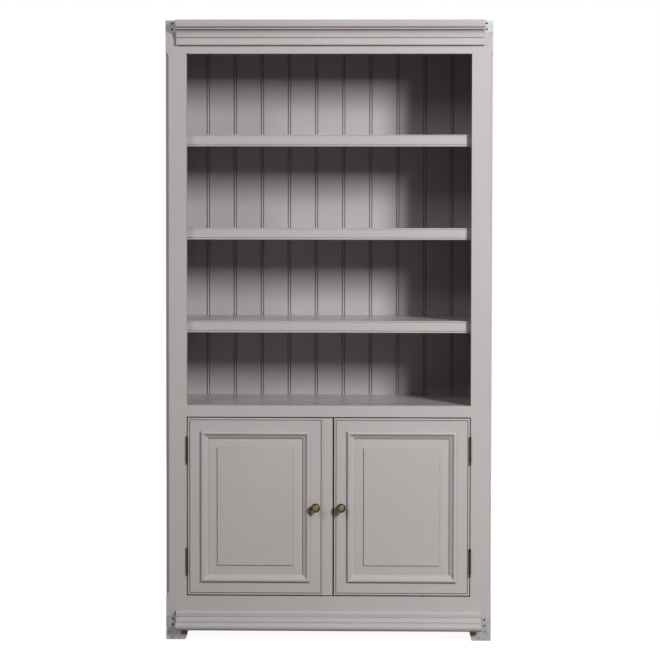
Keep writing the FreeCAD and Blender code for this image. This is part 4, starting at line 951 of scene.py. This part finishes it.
@dataclass
class Hardware:
    """Hinge parts on the frame, steel plates, screws and catches."""

    hinge_parts: Names = ("frame_hinge_leaves_left", "frame_hinge_leaves_right", "hinge_pins",
                          "frame_hinge_screws")
    plates: Names = ("foot_plate", "corner_plate_top", "corner_plate_base")

    def build(self, palette: Palette) -> None:
        """Finishes the hardware and models its screws.

        Args:
            palette: The finishes.
        """
        dress(palette.hinge_brass, *self.hinge_parts)
        # The right-hand plates get the lighter zinc copy: painted light on the lit side.
        for hand, zinc in ((Hand.LEFT, palette.zinc), (Hand.RIGHT, palette.bright_zinc)):
            dress(zinc, *(f"{plate}_{hand.value}" for plate in self.plates))
        dress(palette.plastic, "door_catches")
        dress(palette.steel, "catch_screws")
        CrossHeadScrews().build(palette)


# Studio -------------------------------------------------------------------------------------


@dataclass(frozen=True)
class Softbox:
    """A rectangular lamp with a grid that narrows its spread."""

    name: str
    place: Point
    size: tuple[float, float]
    power: float
    aim: Point
    spread: float = 180.0

    def hang(self) -> None:
        """Makes the lamp and turns it to its aim."""
        data = bpy.data.lights.new(self.name, "AREA")
        data.shape, data.size, data.size_y = "RECTANGLE", *self.size
        data.energy, data.spread = self.power, math.radians(self.spread)
        lamp = bpy.data.objects.new(self.name, data)
        lamp.location = self.place
        lamp.rotation_euler = (Vector(self.aim) - lamp.location).to_track_quat("-Z", "Y").to_euler()
        bpy.context.scene.collection.objects.link(lamp)


@dataclass
class Studio:
    """White studio: softboxes on the right, on the left and behind, and a pale floor."""

    lamps: tuple[Softbox, ...] = (
        Softbox("key", (2.95, -4.48, 3.055), (1.15, 1.28), 295.0, aim=(3.1, -0.175, 1.75),
                spread=140.0),
        Softbox("fill", (-2.87, -3.685, 3.67), (0.8, 1.7), 91.0, aim=(-2.4, -0.175, 0.0)),
        Softbox("back", (-1.9, 4.4, 2.6), (1.6, 1.6), 165.0, aim=(0.0, 0.25, 1.05)))
    ambient: float = 0.005
    floor_size: float = 60.0
    floor_colour: Colour = (0.20, 0.145, 0.11, 1.0)
    near_glow: float = 0.95
    far_glow: float = 1.0
    glow_reach: tuple[float, float] = (0.8, 1.6)

    def build_world(self) -> None:
        """Makes the surroundings white to see and dim as a light."""
        world = bpy.data.worlds.new("white_studio")
        world.use_nodes = True
        bpy.context.scene.world = world
        board = NodeBoard(world.node_tree)
        white = board.add("Background", {"Color": (1, 1, 1, 1), "Strength": 1.0})
        dim = board.add("Background", {"Color": (1, 1, 1, 1), "Strength": self.ambient})
        both = board.add("MixShader", {0: self.seen(board), 1: dim.outputs[0], 2: white.outputs[0]})
        board.add("OutputWorld", {"Surface": both.outputs[0]})

    @staticmethod
    def seen(board: NodeBoard) -> Socket:
        """Mask of the rays that look at the background: straight, by reflection or through glass.

        Args:
            board: The board to add it to.

        Returns:
            The mask.
        """
        rays = board.add("LightPath").outputs
        straight = board.maths("MAXIMUM", rays["Is Camera Ray"], rays["Is Glossy Ray"])
        return board.maths("MAXIMUM", straight, rays["Is Transmission Ray"])

    def build_floor(self) -> None:
        """Lays the floor, which stays white but for the object's shadow."""
        deselect_all()
        bpy.ops.mesh.primitive_plane_add(size=self.floor_size)
        floor = bpy.context.object
        floor.name = "studio_floor"
        material = bpy.data.materials.new("pale_floor")
        material.use_nodes = True
        board = NodeBoard(material.node_tree)
        matt = board.add("BsdfDiffuse", {"Color": self.floor_colour})
        place = board.add("TexCoord").outputs["Object"]
        away = board.add("VectorMath", {0: place}, operation="LENGTH").outputs["Value"]
        strength = board.remap(away, *self.glow_reach, self.near_glow, self.far_glow)
        seen_glow = board.maths("MULTIPLY", self.seen(board), strength)
        glow = board.add("Emission", {"Color": (1, 1, 1, 1), "Strength": seen_glow})
        both = board.add("AddShader", {0: matt.outputs[0], 1: glow.outputs[0]})
        board.add("OutputMaterial", {"Surface": both.outputs[0]})
        floor.data.materials.append(material)

    def build(self) -> None:
        """Builds the world, the floor and the lamps."""
        bpy.context.scene.view_settings.view_transform = "Standard"
        self.build_world()
        self.build_floor()
        for softbox in self.lamps:
            softbox.hang()


@dataclass
class ViewCamera:
    """Camera at eye height in front of the bookcase, a little to the right of its middle."""

    place: Point = (0.1085, -6.5439, 1.4024)
    turn: float = 0.942
    tilt: float = 1.792
    roll: float = 0.086
    lens: float = 102.76
    sensor: float = 36.0
    shift_down: float = 0.0682
    reach: tuple[float, float] = (0.05, 60.0)

    def build(self) -> None:
        """Sets up the camera."""
        data = bpy.data.cameras.new("view")
        data.lens, data.sensor_width, data.sensor_fit = self.lens, self.sensor, "AUTO"
        data.shift_y = -self.shift_down
        data.clip_start, data.clip_end = self.reach
        camera = bpy.data.objects.new("view", data)
        stand = Matrix.Translation(self.place)
        for angle, axis in ((self.turn, "Z"), (90 - self.tilt, "X"), (self.roll, "Z")):
            stand = stand @ Matrix.Rotation(math.radians(angle), 4, axis)
        camera.matrix_world = stand
        bpy.context.scene.collection.objects.link(camera)
        bpy.context.scene.camera = camera


def main() -> None:
    """Builds the bookcase's looks and its studio."""
    logging.basicConfig(level=logging.INFO, format="%(name)s: %(message)s")
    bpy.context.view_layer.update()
    palette = Palette.mixed()
    Casework().dress(palette)
    Mouldings().dress(palette)
    Shelving().dress(palette)
    for hand in Hand:
        CabinetDoor(hand).build(palette)
    Hardware().build(palette)
    Studio().build()
    ViewCamera().build()


if __name__ == "__main__":
    main()
